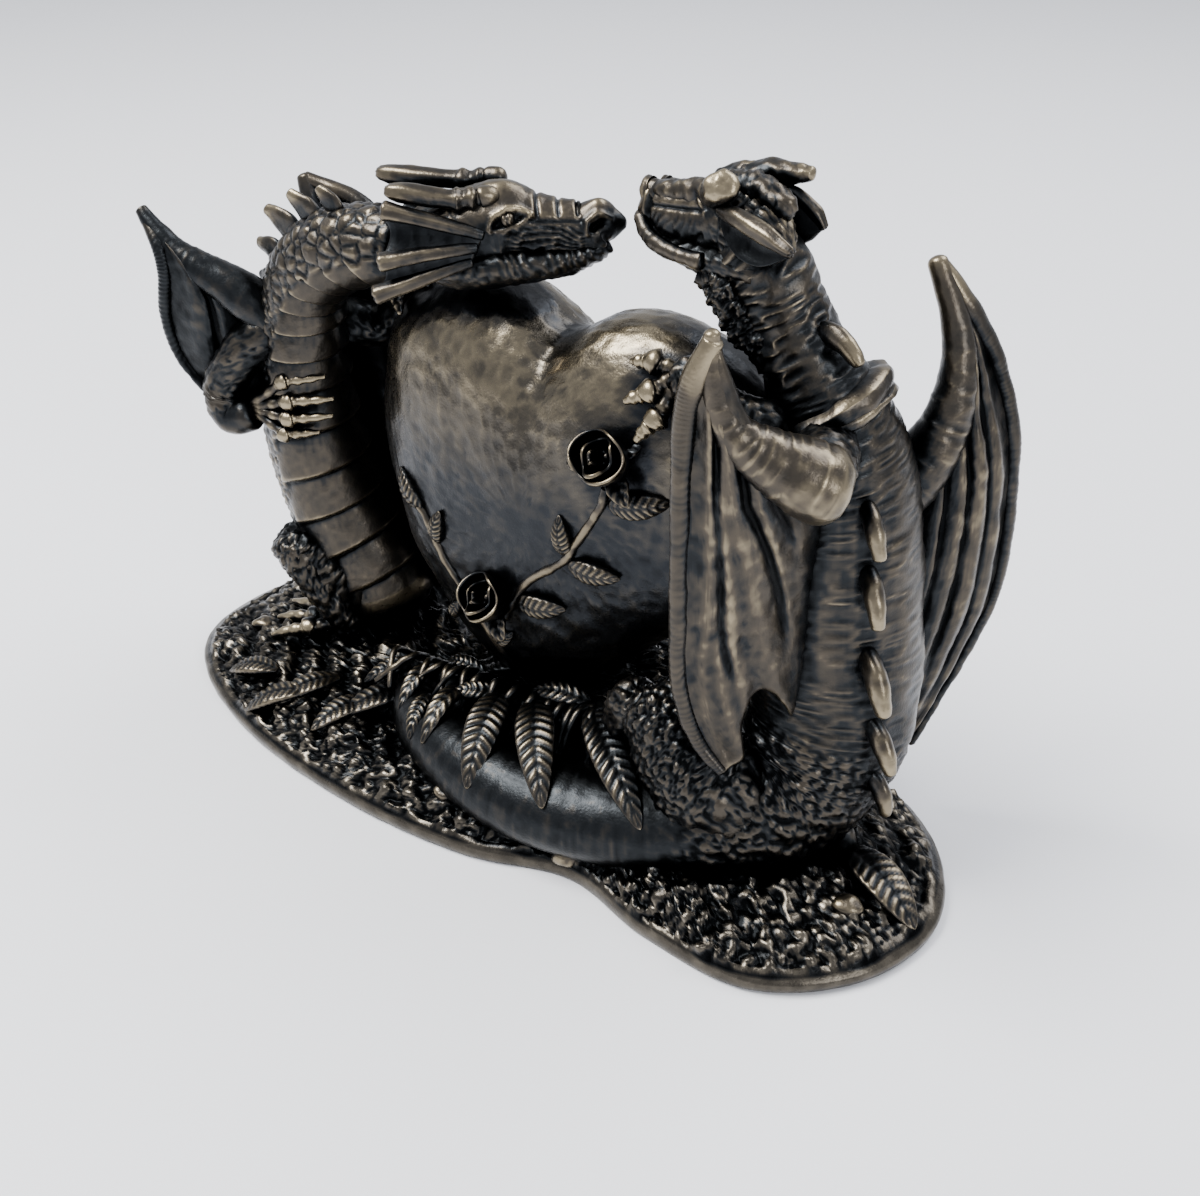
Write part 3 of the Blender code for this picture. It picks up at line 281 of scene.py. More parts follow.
# %% Tubes
def tube_shape(stations, side, cap=0.08, pace=(0.0, 1.0)):
    """Each station is x, y, z, half its width along side and half its depth. side may turn with the stations.

    Each end is rounded, over a share cap of the rows. pace spaces the rows: it gives t at even steps of u.
    """
    stations = np.asarray(stations, float)
    length = np.linalg.norm(np.diff(stations[:, :3], axis=0), axis=1).sum()
    first, last = (min(0.35, 0.9 * stations[k, 3:5].mean() / length) for k in (0, -1))
    step = 1e-3

    def share(u):
        inner = np.interp(np.clip((u - cap) / (1 - 2 * cap), 0, 1), np.linspace(0, 1, len(pace)), pace)
        t = first + inner * (1 - first - last)
        t = np.where(u < cap, first * (1 - np.cos(math.pi / 2 * np.clip(u / cap, 0, 1))), t)
        return np.where(u > 1 - cap, 1 - last * (1 - np.cos(math.pi / 2 * np.clip((1 - u) / cap, 0, 1))), t)

    def frame_at(t):
        centre = along(stations[:, :3], t)
        path = unit(along(stations[:, :3], t + step) - along(stations[:, :3], t - step))
        if np.ndim(side[0]) == 0 and len(side) == 3:
            across = np.broadcast_to(np.asarray(side, float), path.shape)
        else:
            angle = np.radians(along(np.asarray(side, float), t)[:, 0])
            across = np.stack([np.cos(angle), np.sin(angle), 0 * angle], axis=-1)
        across = unit(across - (across * path).sum(-1, keepdims=True) * path)
        return centre, across, np.cross(across, path), along(stations[:, 3:5], t)

    def shape(u, v):
        full = np.sin(math.pi / 2 * np.clip(np.minimum(u, 1 - u) / cap, 0, 1))
        centre, across, belly, half = frame_at(share(u))
        turn = 2 * math.pi * v
        return (centre + (full * half[:, 0] * np.sin(turn))[:, None] * across
                + (full * half[:, 1] * np.cos(turn))[:, None] * belly)

    def point(t, turn, lift=0.0):
        centre, across, belly, half = (part[0] for part in frame_at(np.array([t])))
        out = math.sin(turn) * across + math.cos(turn) * belly
        reach = math.hypot(half[0] * math.sin(turn), half[1] * math.cos(turn))
        return centre + (reach + lift) * out, out

    shape.share = share
    shape.point = point
    shape.length = length
    return shape


def from_belly(v):
    """How far a place lies round from the belly, in radians."""
    turn = 2 * math.pi * v
    return np.abs((turn + math.pi) % (2 * math.pi) - math.pi)


class Stand:
    """Turns stations measured from a figure's stand and the ground into places."""

    def __init__(self, place):
        self.origin = np.array([*place, GROUND_HEIGHT])

    def at(self, rows):
        rows = np.array(rows, float)
        rows[:, :3] += self.origin
        return rows

    def point(self, x, y, z):
        return self.origin + np.array([x, y, z], float)


trial = tube_shape([(0, 0, k, 2, 2) for k in (0, 5, 10)], (1, 0, 0))
print("the belly of a trial tube, half way along", trial.point(0.5, 0)[0].round(1))

# %% [markdown]
# The ground is cast with the figures: flat below, a low upright rim, and earth that rises inwards. Rubble
# covers it, two sizes of pebbles over soft lumps. It stops short of the rim, which was left smooth.

# %% Ground
def outline_at(v):
    return along(OUTLINE, v, closed=True) * np.array([PLINTH_LENGTH / 2, PLINTH_WIDTH / 2])


# Two mounds carry the heart: height, place and width across, place and width back, in shares of the heart
MOUNDS = [(11.0, 0.0, 0.356, 0.028, 0.417), (9.0, 0.178, 0.222, 0.333, 0.306)]
LUMP_SPACING = 20.3
LUMP_HEIGHT = 0.9


def ground_rise(x, y):
    """How high the earth lies above the table."""
    off = (x - HEART_STAND[0]) / HEART_WIDTH
    back = (y - HEART_STAND[1]) / HEART_DEPTH
    mound = sum(height * np.exp(-((off - across) / wide) ** 2 - ((back - behind) / deep) ** 2)
                for height, across, wide, behind, deep in MOUNDS)
    wave = 2 * math.pi / LUMP_SPACING
    lumps = np.sin(wave * x + 1.3) * np.cos(1.19 * wave * y) + 0.6 * np.sin(wave * (2.68 * x + 2.29 * y))
    return GROUND_HEIGHT + mound + LUMP_HEIGHT * lumps


def earth_height(x, y, share):
    slope = np.clip((1 - share) / 0.3, 0, 1)
    return RIM_HEIGHT + (ground_rise(x, y) - RIM_HEIGHT) * np.sin(slope * math.pi / 2)


def rubble(points):
    shifted = points + 0.7 * grain(points, 4.0, 2)[:, None]
    rough = 1.15 * pebbles(shifted, 2.7, 5) + 0.5 * pebbles(shifted, 1.5, 9) - 1.0
    return rough + 1.2 * grain(points, 5.5, 3) + 0.8 * grain(points, 1.7, 4)


def ground():
    rim = [(0.0, 0.0), (0.6, 0.0), (0.975, 0.0), (0.985, 0.05), (0.994, 0.25), (0.996, 0.6), (0.99, 0.85),
           (0.975, 1.0)]
    inward = 0.97 * (1 - np.linspace(0, 1, 78)[1:] ** 1.15)
    rows = len(rim) + len(inward) - 1
    shares = np.array([r for r, _ in rim] + list(inward))
    heights = np.array([h for _, h in rim] + [1.0] * len(inward))

    def shape(u, v):
        row = np.round(u * rows).astype(int)
        share = shares[row]
        xy = outline_at(v) * share[:, None]
        z = np.where(row < len(rim), heights[row] * RIM_HEIGHT, earth_height(*xy.T, share))
        return np.column_stack([xy, z])

    def rough(points, u, v):
        row = np.round(u * rows).astype(int)
        inside = smooth(0.972 - shares[row], 0.0, 0.02) * (row >= len(rim))
        side = 0.12 * grain(points, 3.0, 6) * (row > 3) * (row < len(rim))
        return inside * rubble(points) + side

    def shine(points, u, v):
        # Bright flecks in the rubble: rubbed metal and painted glints of the light on small faces.
        glint_and_rubbed_flecks = 0.35 * smooth(grain(points, 1.6, 19), 0.35, 0.7)
        return np.where(u * rows < len(rim) + 1, 0.34, 0.34 + 0.22 * grain(points, 9.0, 8) + glint_and_rubbed_flecks)

    return skin(shape, rows, 620, rough, shine)


earth = Piece("ground")
earth.add(ground())
earth.tell()

# %% [markdown]
# The heart was planished: its wax was pressed smooth with a round tool, which leaves shallow dents. Its foot
# leans towards the left dragon. Two roses with their stems and leaves lie on its front.

# %% Heart
def heart_shape(u, v):
    x, z = along(HEART_OUTLINE, v, closed=True).T
    # The rows lie closer together near the two poles, in the middle of the front and of the back
    inward = 1 - np.abs(2 * u - 1)
    deep = np.sign(u - 0.5) * np.cos(math.pi / 2 * inward**1.15)
    share = np.clip(1 - np.abs(deep) ** HEART_FULL, 0, 1) ** (1 / HEART_FULL)
    return HEART_MIDDLE + np.column_stack([x * HEART_WIDTH / 2 * share, deep * HEART_DEPTH / 2,
                                           z * HEART_HEIGHT * share])


def dents(points, u, v):
    lower = 1 - smooth(points[:, 2], 40, 62)
    off_pole = smooth(np.minimum(u, 1 - u), 0.01, 0.07)
    fine = (0.1 * grain(points, 3.0, 12) + 0.04 * grain(points, 1.2, 13) - 0.24 * pebbles(points, 3.0, 15)
            - 0.2 * smooth(grain(points, 2.2, 14), 0.72, 0.85) + lower * 0.35 * grain(points, 2.4, 16))
    return 0.35 * grain(points, 9.0, 11) + off_pole * fine


def on_heart(x, z, lift=0.0):
    """The point of the heart's front at x and z from its middle, and the way out of it there."""
    ox, oz = along(HEART_OUTLINE, np.linspace(0, 1, 241), closed=True).T
    ox, oz = ox * HEART_WIDTH / 2, oz * HEART_HEIGHT
    angle = np.arctan2(ox, oz)
    order = np.argsort(angle)

    def depth(px, pz):
        reach = np.interp(math.atan2(px, pz), angle[order], np.hypot(ox, oz)[order])
        share = min(math.hypot(px, pz) / reach, 0.98)
        return -HEART_DEPTH / 2 * (1 - share**HEART_FULL) ** (1 / HEART_FULL)

    step = 0.5
    out = unit(np.array([depth(x + step, z) - depth(x - step, z), -2 * step,
                         depth(x, z + step) - depth(x, z - step)]))
    return HEART_MIDDLE + np.array([x, depth(x, z), z]) + lift * out, out


heart = Piece("heart")
# Painted highlight: the heart's colour grows lighter towards its top, rubbed metal and the overhead light's
# highlight on its shoulders.
heart.add(skin(heart_shape, 124, 236, dents, rub_and_painted_light=lambda p, u, v: 0.32 + 0.42 * smooth(p[:, 2], 62, 92)))
heart.tell()

# %% [markdown]
# Leaves are the same closed form drawn out flat. A midrib and slanting side veins are raised on them.

# %% Leaves
def leaf(root, tip, up, width, thickness, fold=0.25, arch=0.1, veins=9, rows=44, sides=36):
    root, tip, up = (np.asarray(x, float) for x in (root, tip, up))
    path = tip - root
    side = unit(np.cross(path, up))
    up = unit(np.cross(side, path))

    def shape(u, v):
        turn = 2 * math.pi * v
        swell = np.sin(math.pi * np.clip(u, 0, 1) ** 0.85) ** 0.62
        across = width / 2 * swell * np.sin(turn)
        bow = arch * np.linalg.norm(path) * np.sin(math.pi * u)
        half = np.sign(np.cos(turn)) * np.abs(np.cos(turn)) ** 0.6
        rise = bow + thickness / 2 * swell * half + fold * np.abs(across)
        return root + u[:, None] * path + across[:, None] * side + rise[:, None] * up

    def ribs(points, u, v):
        across = np.abs(np.sin(2 * math.pi * v))
        vein = np.cos(2 * math.pi * (veins * u - 1.1 * across))
        groove = np.exp(-(across / 0.1) ** 2)
        fade = np.sin(math.pi * np.clip(u, 0, 1)) ** 0.5 * (1 - across**8)
        return fade * (0.22 * vein * (1 - groove) - 0.2 * groove) + 0.05 * grain(points, 1.2, 20)

    return skin(shape, rows, sides, ribs, rub_and_painted_light=0.46)


def heart_leaf(x, z, heading, length):
    reach = length * np.array([math.cos(math.radians(heading)), math.sin(math.radians(heading))])
    root, out = on_heart(x, z)
    tip, _ = on_heart(x + reach[0], z + reach[1], 0.3)
    return leaf(root, tip, out, 0.42 * length, 2.2, fold=-0.1, veins=8, rows=40, sides=28)


def vine(places, radius):
    rows = []
    for x, z in places:
        point, _ = on_heart(x, z, 0.1 * radius)
        rows.append((*point, radius, radius))
    path = tube_shape(rows, (0.0, -1.0, 0.0), cap=0.03)
    return skin(path, 80, 12, handled(0.2, 1.8, 21), rub_and_painted_light=0.45)


def rose(x, z, tilt):
    """Petals rolled one inside the other. Each is a cup with a waving rim, lower on one side."""
    root, out = on_heart(x, z)
    out = unit(out + np.asarray(tilt, float))
    side = unit(np.cross(out, (0.3, 0.0, 1.0)))
    other = np.cross(out, side)
    forms = []
    cup = [(0.0, -0.5), (0.5, -0.5), (0.6, -0.2), (0.78, 0.25), (0.92, 0.7), (0.98, 1.0), (0.97, 1.12),
           (0.88, 1.1), (0.8, 0.8), (0.68, 0.4), (0.5, 0.2), (0.0, 0.15)]
    ring = [(0.0, 0.0), (0.4, 0.0), (0.58, 0.5), (0.64, 0.95), (0.6, 1.04), (0.52, 1.0), (0.46, 0.6),
            (0.3, 0.3), (0.0, 0.3)]
    bud = [(0.0, 0.0), (0.32, 0.1), (0.36, 0.6), (0.32, 0.92), (0.25, 1.0), (0.17, 0.95), (0.1, 0.7),
           (0.0, 0.7)]
    for number, (profile, wave) in enumerate([(cup, 0.14), (ring, 0.17), (bud, 0.14)]):
        def turned(u, v, profile=profile, wave=wave, number=number):
            radius, rise = ROSE_RADIUS * along(profile, u).T
            turn = 2 * math.pi * v
            open_at = smooth(rise, 0.0, ROSE_RADIUS)
            radius = radius * (1 + wave * np.cos(2 * turn + 2 * number) * open_at)
            ruffle = wave * np.sin(3 * turn + number) - 0.2 * np.cos(turn + number)
            rise = rise + ROSE_RADIUS * open_at * ruffle
            return (root + rise[:, None] * out + (radius * np.cos(turn))[:, None] * side
                    + (radius * np.sin(turn))[:, None] * other)
        forms.append(skin(turned, 44, 52, handled(0.12, 1.6, 22),
                          rub_and_painted_light=lambda p, u, v: 0.34 + 0.3 * smooth((p - root) @ out, 3.6, 6.0)))
    for turn in (0.6, 2.7, 4.4):
        way = math.cos(turn) * side + math.sin(turn) * other
        start, end = (root + share * ROSE_RADIUS * way for share in (0.3, 1.6))
        forms.append(leaf(start, end, out, 0.8 * ROSE_RADIUS, 1.6, veins=4, rows=20, sides=20))
    return forms


flowers = Piece("roses_and_vines")
for form in rose(-8.5, -22.0, (-0.1, 0.0, 0.9)) + rose(18.5, 17.5, (-0.1, 0.0, 0.6)):
    flowers.add(form)
flowers.add(vine([(18, 13), (17, 8.5), (11.8, -1), (9, -5.5), (1.2, -12.5), (-3, -19), (-6, -25)], 0.9))
flowers.add(vine([(-28.4, -7), (-25, -10.5), (-21.5, -18), (-15, -26), (-10.5, -35), (-8, -43)], 0.9))
# x and z of the root from the heart's middle, heading in degrees, and length
HEART_LEAVES = [(-27, -8, 131, 10), (-23.5, -14, 76, 9), (-21, -29, 240, 7), (18.5, 9.5, 15, 12),
                (10, -4, 98, 9), (10, -5.5, 0, 11), (-3, -19, 10, 12), (-10.5, -34, 45, 8)]
for x, z, heading, length in HEART_LEAVES:
    flowers.add(heart_leaf(x, z, heading, length))
flowers.tell()

# %% [markdown]
# The trunks carry the strongest relief. Along the belly run plates, each swelling to its lower edge over the
# next one, and the flanks are scaled. The right dragon turns its back to us, and its hide is drawn into fine
# wrinkles that run across.

# %% Trunks
LEFT_TRUNK = [(9, 6, -1, 12.5, 11), (4, 4, 13, 12.5, 13), (-1, 0, 30, 11.7, 12.5), (-2, -4, 48, 10.5, 11.2),
              (0.5, -7, 66, 9.2, 9.8), (4.5, -9, 79, 8, 8.4), (9.5, -11, 89, 7.3, 7.7),
              (18, -12.5, 96, 7.2, 7.5), (28, -13, 100, 7, 7), (39, -12, 101.5, 6, 6)]
# Which way is across the trunk at each station, in degrees from the x axis
LEFT_TURNS = [(62,), (66,), (70,), (72,), (76,), (82,), (92,), (105,), (114,), (114,)]
RIGHT_TRUNK = [(-96, -14, 0, 2.5, 2.5), (-82, -25, 1.5, 6.5, 6.5), (-66, -31, 2, 8.5, 8.5),
               (-49, -32, 2, 10, 8.8), (-32, -28, 2.5, 11, 9.3), (-16, -19, 4.5, 13, 11),
               (-4, -8, 10, 15, 14), (0, -2, 20, 16, 14.5), (0, 1, 33, 15.5, 14), (-1.5, 2, 49, 14.5, 13.5),
               (-3, 2, 65, 13.5, 12.8), (-5, 1, 77, 12, 11.8), (-7.8, 0, 86, 9.6, 9.6),
               (-11.5, -0.7, 93, 7.6, 7.8), (-15.5, -1, 100, 6.8, 7), (-19.5, -1.8, 107, 6.6, 7),
               (-25, -2.2, 112.5, 6, 6)]
RIGHT_TURNS = [(-80,), (-78,), (-84,), (-90,), (-76,), (-70,), (-90,), (-115,), (-130,), (-136,), (-136,),
               (-132,), (-122,), (-114,), (-108,), (-105,), (-104,)]
RIGHT_PACE = (0.0, 0.12, 0.22, 0.32, 0.39, 0.46, 0.53, 0.6, 0.67, 0.74, 0.81, 0.9, 1.0)

left_stand = Stand(LEFT_STAND)
right_stand = Stand(RIGHT_STAND)
left_trunk_shape = tube_shape(left_stand.at(LEFT_TRUNK), LEFT_TURNS, cap=0.03)
right_trunk_shape = tube_shape(right_stand.at(RIGHT_TRUNK), RIGHT_TURNS, cap=0.02, pace=RIGHT_PACE)


def plates(t, v, count, reach, depth, phase=0.25):
    """Belly plates. The step between two is sharp and each is rounded towards its edge."""
    bow = 0.3 * (from_belly(v) / reach) ** 2 / count
    at = ((t + bow) * count + phase) % 1.0
    step = 0.12
    face = np.sqrt(np.clip(at / step, 0, 1))
    slope = 1 - 0.9 * np.clip((at - step) / (1 - step), 0, 1) ** 1.4
    lip = np.where(at < step, face, slope)
    on_belly = smooth(1.1 - from_belly(v) / reach, 0, 0.14)
    return depth * (lip - 0.5) * on_belly, on_belly


def left_hide(points, u, v):
    t = left_trunk_shape.share(u)
    plate, on_belly = plates(t, v, 15, 1.35, 2.0)
    big = smooth(t, 0.55, 0.72)
    scales = (1 - big) * 0.55 * pebbles(points, 2.2, 31) + big * 0.75 * pebbles(points, 3.2, 33)
    marks = 0.08 * grain(points, 2.2, 34) + 0.05 * grain(points, 1.0, 35)
    return plate + (1 - on_belly) * (scales - 0.3) + marks


def right_hide(points, u, v):
    t = right_trunk_shape.share(u)
    plate, on_belly = plates(t, v, 26, 0.9, 0.8)
    tail = 1 - smooth(t, 0.32, 0.38)
    neck = smooth(t, 0.76, 0.82)
    body = (1 - neck) * (1 - tail)
    lines = body * 0.16 * wrinkles(right_trunk_shape, u, v, 1.1, 2.6, 41)
    lines += neck * 0.3 * wrinkles(right_trunk_shape, u, v, 1.9, 4.0, 43)
    lines += tail * 0.07 * wrinkles(right_trunk_shape, u, v, 1.2, 9.0, 45)
    rough = smooth(t, 0.28, 0.33) * (1 - smooth(t, 0.42, 0.48))
    lines += rough * (0.7 * pebbles(points, 1.9, 44) - 0.3 + 0.6 * grain(points, 1.6, 46))
    lines += 0.35 * (1 - tail) * grain(points, 6.0, 47)
    return plate * (1 - tail) + (1 - on_belly * (1 - tail)) * lines + 0.05 * grain(points, 1.3, 48)


left_body = Piece("left_dragon_trunk")
left_body.add(skin(left_trunk_shape, 330, 112, left_hide, rub_and_painted_light=0.5))
right_body = Piece("right_dragon_trunk")
right_body.add(skin(right_trunk_shape, 490, 98, right_hide,
                    rub_and_painted_light=lambda p, u, v: 0.24 + 0.2 * smooth(right_trunk_shape.share(u), 0.4, 0.55)))
print("neck and tail", round(left_trunk_shape.length), "and", round(right_trunk_shape.length), "mm long")
left_body.tell()
right_body.tell()

# %% [markdown]
# The spines on the back are worn to bright metal, because they are what a hand touches first. Those of the
# left dragon are thin and pointed. Those of the right one are blunt and hang over.

# %% Spines
def back_spines(piece, trunk, places, stations):
    """stations: out of the back, back along it, half across and half along, for a full spine."""
    for t, share in places:
        root, out = trunk.point(t, math.pi)
        ahead, _ = trunk.point(t - 0.02, math.pi)
        lean = unit(ahead - root)
        side = unit(np.cross(out, lean))
        rows = [(*(root + share * (a * out + b * lean)), share * c, share * d) for a, b, c, d in stations]
        piece.add(skin(tube_shape(rows, tuple(side), cap=0.2), 34, 26, handled(0.12, 1.6, 51),
                       rub_and_painted_light=lambda p, u, v: 0.4 + 0.36 * smooth(u, 0.3, 0.7)))


# Way along the trunk, and share of a full spine
LEFT_SPINES = [(0.16, 0.8), (0.25, 0.85), (0.34, 0.85), (0.43, 0.85), (0.51, 0.85), (0.58, 0.9), (0.65, 1.0),
               (0.72, 1.15), (0.79, 1.0), (0.85, 0.8)]
LEFT_SPINE = [(-2.0, -0.6, 1.2, 3.4), (0.6, -0.2, 1.1, 3.1), (2.6, 0.6, 1.0, 2.4), (4.2, 1.4, 0.9, 1.6),
              (5.4, 2.0, 0.8, 1.0)]
RIGHT_SPINES = [(0.38, 1.15), (0.43, 0.95), (0.475, 1.1), (0.535, 1.25), (0.6, 1.1), (0.655, 1.0),
                (0.835, 0.95)]
RIGHT_SPINE = [(-2.4, -1.6, 1.6, 2.2), (1.0, -0.6, 1.6, 2.2), (2.8, 1.2, 1.6, 2.0), (3.9, 3.4, 1.35, 1.6),
               (4.4, 5.4, 1.0, 1.1)]
back_spines(left_body, left_trunk_shape, LEFT_SPINES, LEFT_SPINE)
back_spines(right_body, right_trunk_shape, RIGHT_SPINES, RIGHT_SPINE)
left_body.tell()
right_body.tell()

# %% [markdown]
# A head is measured in its own frame, forward along the snout, left and up, and then turned to its pose.
# Skull and jaw are lofts from section to section. On them the sculptor worked with two tools, a pellet of
# wax pressed on and a point drawn through the wax, and both are heights that fade out from a place or from a
# line.

# %% A head's frame
class Head:
    """Places things in a head's own frame."""

    def __init__(self, stand, nape, yaw, pitch, roll, size=1.0):
        turn = (Matrix.Rotation(math.radians(yaw), 3, "Z") @ Matrix.Rotation(math.radians(-pitch), 3, "Y")
                @ Matrix.Rotation(math.radians(roll), 3, "X"))
        self.turn = size * np.array(turn)
        self.size = size
        self.nape = stand.point(*nape)

    def at(self, *place):
        return self.nape + self.turn @ np.array(place, float)

    def way(self, *direction):
        return unit(self.turn @ np.array(direction, float))

    def local(self, points):
        return (points - self.nape) @ self.turn / self.size**2

    def tube(self, rows, side=(0.0, 1.0, 0.0), count=36, sides=22, relief=None, rub_and_painted_light=0.4, cap=0.12):
        stations = [(*self.at(*row[:3]), row[3] * self.size, row[-1] * self.size) for row in rows]
        return skin(tube_shape(stations, tuple(self.way(*side)), cap=cap), count, sides, relief, rub_and_painted_light)

    def loft(self, sections, count, sides, relief, rub_and_painted_light):
        rows = [(f, 0.0, (top + low) / 2, half, (top - low) / 2) for f, half, top, low in sections]
        return self.tube(rows, count=count, sides=sides, relief=relief, rub_and_painted_light=rub_and_painted_light, cap=0.07)


def pellet(place, centre, radii):
    """1 at a centre and nearly 0 a few radii away."""
    return np.exp(-np.sum(((place - np.array(centre)) / np.array(radii)) ** 2, axis=-1))


def stroke(place, line, wide):
    """1 along a line through some places, and nearly 0 twice its width away."""
    line = np.asarray(line, float)
    nearest = np.full(len(place), np.inf)
    for a, b in zip(line[:-1], line[1:]):
        share = np.clip((place - a) @ (b - a) / ((b - a) @ (b - a)), 0, 1)
        nearest = np.minimum(nearest, np.linalg.norm(place - a - share[:, None] * (b - a), axis=-1))
    return np.exp(-(nearest / wide) ** 2)


left_pose = Head(left_stand, (44.2, -10.8, 103.6), yaw=30, pitch=4, roll=-17)
right_pose = Head(right_stand, (-19.5, -2.9, 113.9), yaw=171, pitch=-2, roll=12, size=0.84)
left_head = Piece("left_dragon_head")
right_head = Piece("right_dragon_head")
print("snouts", left_pose.at(33, 0, 2).round(1), right_pose.at(28, 0, 2).round(1))

# %% [markdown]
# Skin stretched between two lines is one more closed form. It serves for the frill, the ears and the wings.

# %% Stretched skin
def stretched(outer, inner, thickness, rows, sides, out, swell=None, relief=None, rub_and_painted_light=0.0, hem=(1, 1)):
    """A thin closed skin between two lines of points. swell lifts it along out, hem says where it ends."""
    outer, inner, out = np.asarray(outer, float), np.asarray(inner, float), unit(np.asarray(out, float))
    ends = np.array(hem, float)[:, None]

    def spread(u, v):
        across = 0.5 - 0.5 * np.cos(2 * math.pi * (v + 0.5 / sides))
        return across, u * (1 - (1 - along(ends, across)[:, 0]) * u**2)

    def shape(u, v):
        across, down = spread(u, v)
        turn = 2 * math.pi * (v + 0.5 / sides)
        edge = along(outer, down)
        flat = edge + across[:, None] * (along(inner, down) - edge)
        closing = np.sqrt(np.clip(1 - (2 * u - 1) ** 8, 0, 1))
        rise = thickness / 2 * closing * np.sign(np.sin(turn)) * np.sqrt(np.abs(np.sin(turn)))
        if swell is not None:
            rise = rise + swell(across, down)
        return flat + rise[:, None] * out

    worn_and_painted_light = rub_and_painted_light if not callable(rub_and_painted_light) else lambda p, u, v: rub_and_painted_light(*spread(u, v))
    return skin(shape, rows, sides, relief, worn_and_painted_light)


# %% [markdown]
# The left head shows its right cheek: a domed brow over a lidded eye, three rings on the bridge, an open
# nostril and a beak. Below the eye the skin is drawn into lines, and the lip is notched.

# %% The left dragon's face
# Forward, half the width, top and bottom
LEFT_SKULL = [(-7, 4.6, 4.6, -5), (1, 6.2, 7.4, -5.6), (7, 6.6, 8.6, -5.6), (11.5, 6.3, 9.2, -5.2),
              (15.4, 5.5, 7.7, -5), (18.8, 4.9, 6.5, -5), (23, 4.3, 5.6, -4.9), (26, 3.8, 5.1, -4.4),
              (28.5, 3.3, 5.4, -2.8), (30.9, 2.0, 3.9, -1.5), (33.1, 0.6, 1.9, 0.4)]
LEFT_JAW = [(-2, 4.6, -2, -8), (4, 5.8, -2, -9), (10.6, 6.1, -1.6, -8.9), (16, 5.5, -1.9, -8.3),
            (21.2, 4.8, -2.3, -7.6), (25.5, 4.1, -2.1, -6.3), (28.4, 2.9, -1.7, -4.8),
            (30.2, 1.3, -1.3, -3.4)]


def left_face(points, u, v):
    forward, left, up = left_pose.local(points).T
    both, flank = np.column_stack([forward, np.abs(left), up]), np.column_stack([forward, up])
    height = 0.9 * pellet(both, (12, 3.6, 8.6), (3.6, 2.6, 2.0))
    height += 0.7 * pellet(both, (12, 5.8, -3.2), (2.2, 2, 1.6))
    height += 0.8 * pellet(both, (28.6, 2.0, 4.7), (1.8, 1.4, 1.4))
    side = smooth(np.abs(left), 0.8, 2.0)
    height -= side * 0.9 * stroke(flank, [(11.3, 1.8), (13.2, 2.6), (14.8, 2.9)], 0.95)
    upper_lid = [(9.9, 1.2), (11.0, 3.3), (13.2, 4.5), (15.4, 4.3), (17.2, 3.3)]
    height += side * 0.7 * stroke(flank, upper_lid, 0.55)
    height += side * 0.45 * stroke(flank, [(10.1, 0.9), (12.3, 0.8), (14.8, 1.6), (16.8, 2.9)], 0.4)
    height -= side * 1.9 * stroke(flank, [(27.7, 0.6), (29.1, 1.3)], 0.7)
    height += side * 0.55 * stroke(flank, [(26.4, -0.3), (26.5, 1.7), (28.3, 3.0), (30.6, 2.1)], 0.55)
    for f in (18.1, 21.6, 24.9):
        height -= 0.6 * np.exp(-((forward - f + 0.12 * (up - 4)) / 0.34) ** 2) * smooth(up, 2.2, 3.2)
    height -= side * 0.4 * stroke(flank, [(17.2, 2.3), (20.6, 2.1), (25.5, 1.9)], 0.4)
    fan = smooth(forward, 11, 14) * (1 - smooth(forward, 24, 28))
    fan = fan * smooth(up, -4.4, -3.4) * (1 - smooth(up, 0.8, 2.0))
    height += 0.14 * fan * np.cos(2 * math.pi * (up / 1.05 + 0.06 * forward + 1.3 * grain(points, 3.6, 61)))
    height += 0.3 * fan * (grain(points, 1.1, 60) - 0.5)
    lip = [(30.4, -1.1), (28, -3.3), (24.8, -4.1), (19.2, -4.0), (13.5, -3.8)]
    height += side * 0.35 * stroke(flank, lip, 0.5)
    height += 0.45 * (1 - smooth(forward, 2, 7)) * (pebbles(points, 1.8, 62) - 0.5)
    return height + 0.1 * grain(points, 1.6, 63) + 0.05 * grain(points, 0.8, 64)


def notched(pose, low, spacing, seed):
    """Short notches along a jaw's upper band."""
    def chin(points, u, v):
        forward, left, up = pose.local(points).T
        band = smooth(forward, 9, 12) * smooth(up, low, low + 0.8)
        notch = np.cos(2 * math.pi * (forward / spacing + 0.3 * up + 0.9 * grain(points, 2.6, seed)))
        scales = (1 - band) * (pebbles(points, 1.7, seed + 1) - 0.5)
        return 0.11 * band * notch + 0.25 * scales + 0.22 * grain(points, 1.3, seed + 2)
    return chin


def bridge_rub(pose, low, high):
    return lambda p, u, v: 0.34 + 0.28 * smooth(pose.local(p)[:, 2], low, high)


left_head.add(left_pose.loft(LEFT_SKULL, 134, 98, left_face, bridge_rub(left_pose, 1.0, 4.0)))
left_head.add(left_pose.loft(LEFT_JAW, 90, 60, notched(left_pose, -7.2, 1.7, 65), 0.3))
for side in (1, -1):
    eye = [(12.0, 5.0 * side, 2.3, 1.0, 1.0), (13.1, 5.3 * side, 2.7, 1.45, 1.3),
           (14.3, 5.0 * side, 2.8, 0.9, 0.9)]
    left_head.add(left_pose.tube(eye, count=24, sides=20, cap=0.3, rub_and_painted_light=0.45,
                                 relief=lambda p, u, v: -0.25 * np.exp(-((u - 0.5) / 0.07) ** 2)))
left_head.tell()

# %% [markdown]
# Behind the cheek opens the frill. Its spines are round ended, with dark skin between them. The horn above
# carries two rings at its root.

# %% The left dragon's frill and horns
LEFT_FRILL = [[(9.1, 6.0, 0.2), (0.1, 7.5, 3.1), (-8.0, 8.5, 5.2)],
              [(7.9, 6.2, -1.7), (-0.5, 8.0, -2.2), (-9.3, 9, -3.4)],
              [(6.8, 5.8, -4.0), (-2.0, 7.2, -6.3), (-10.8, 8, -9.0)]]
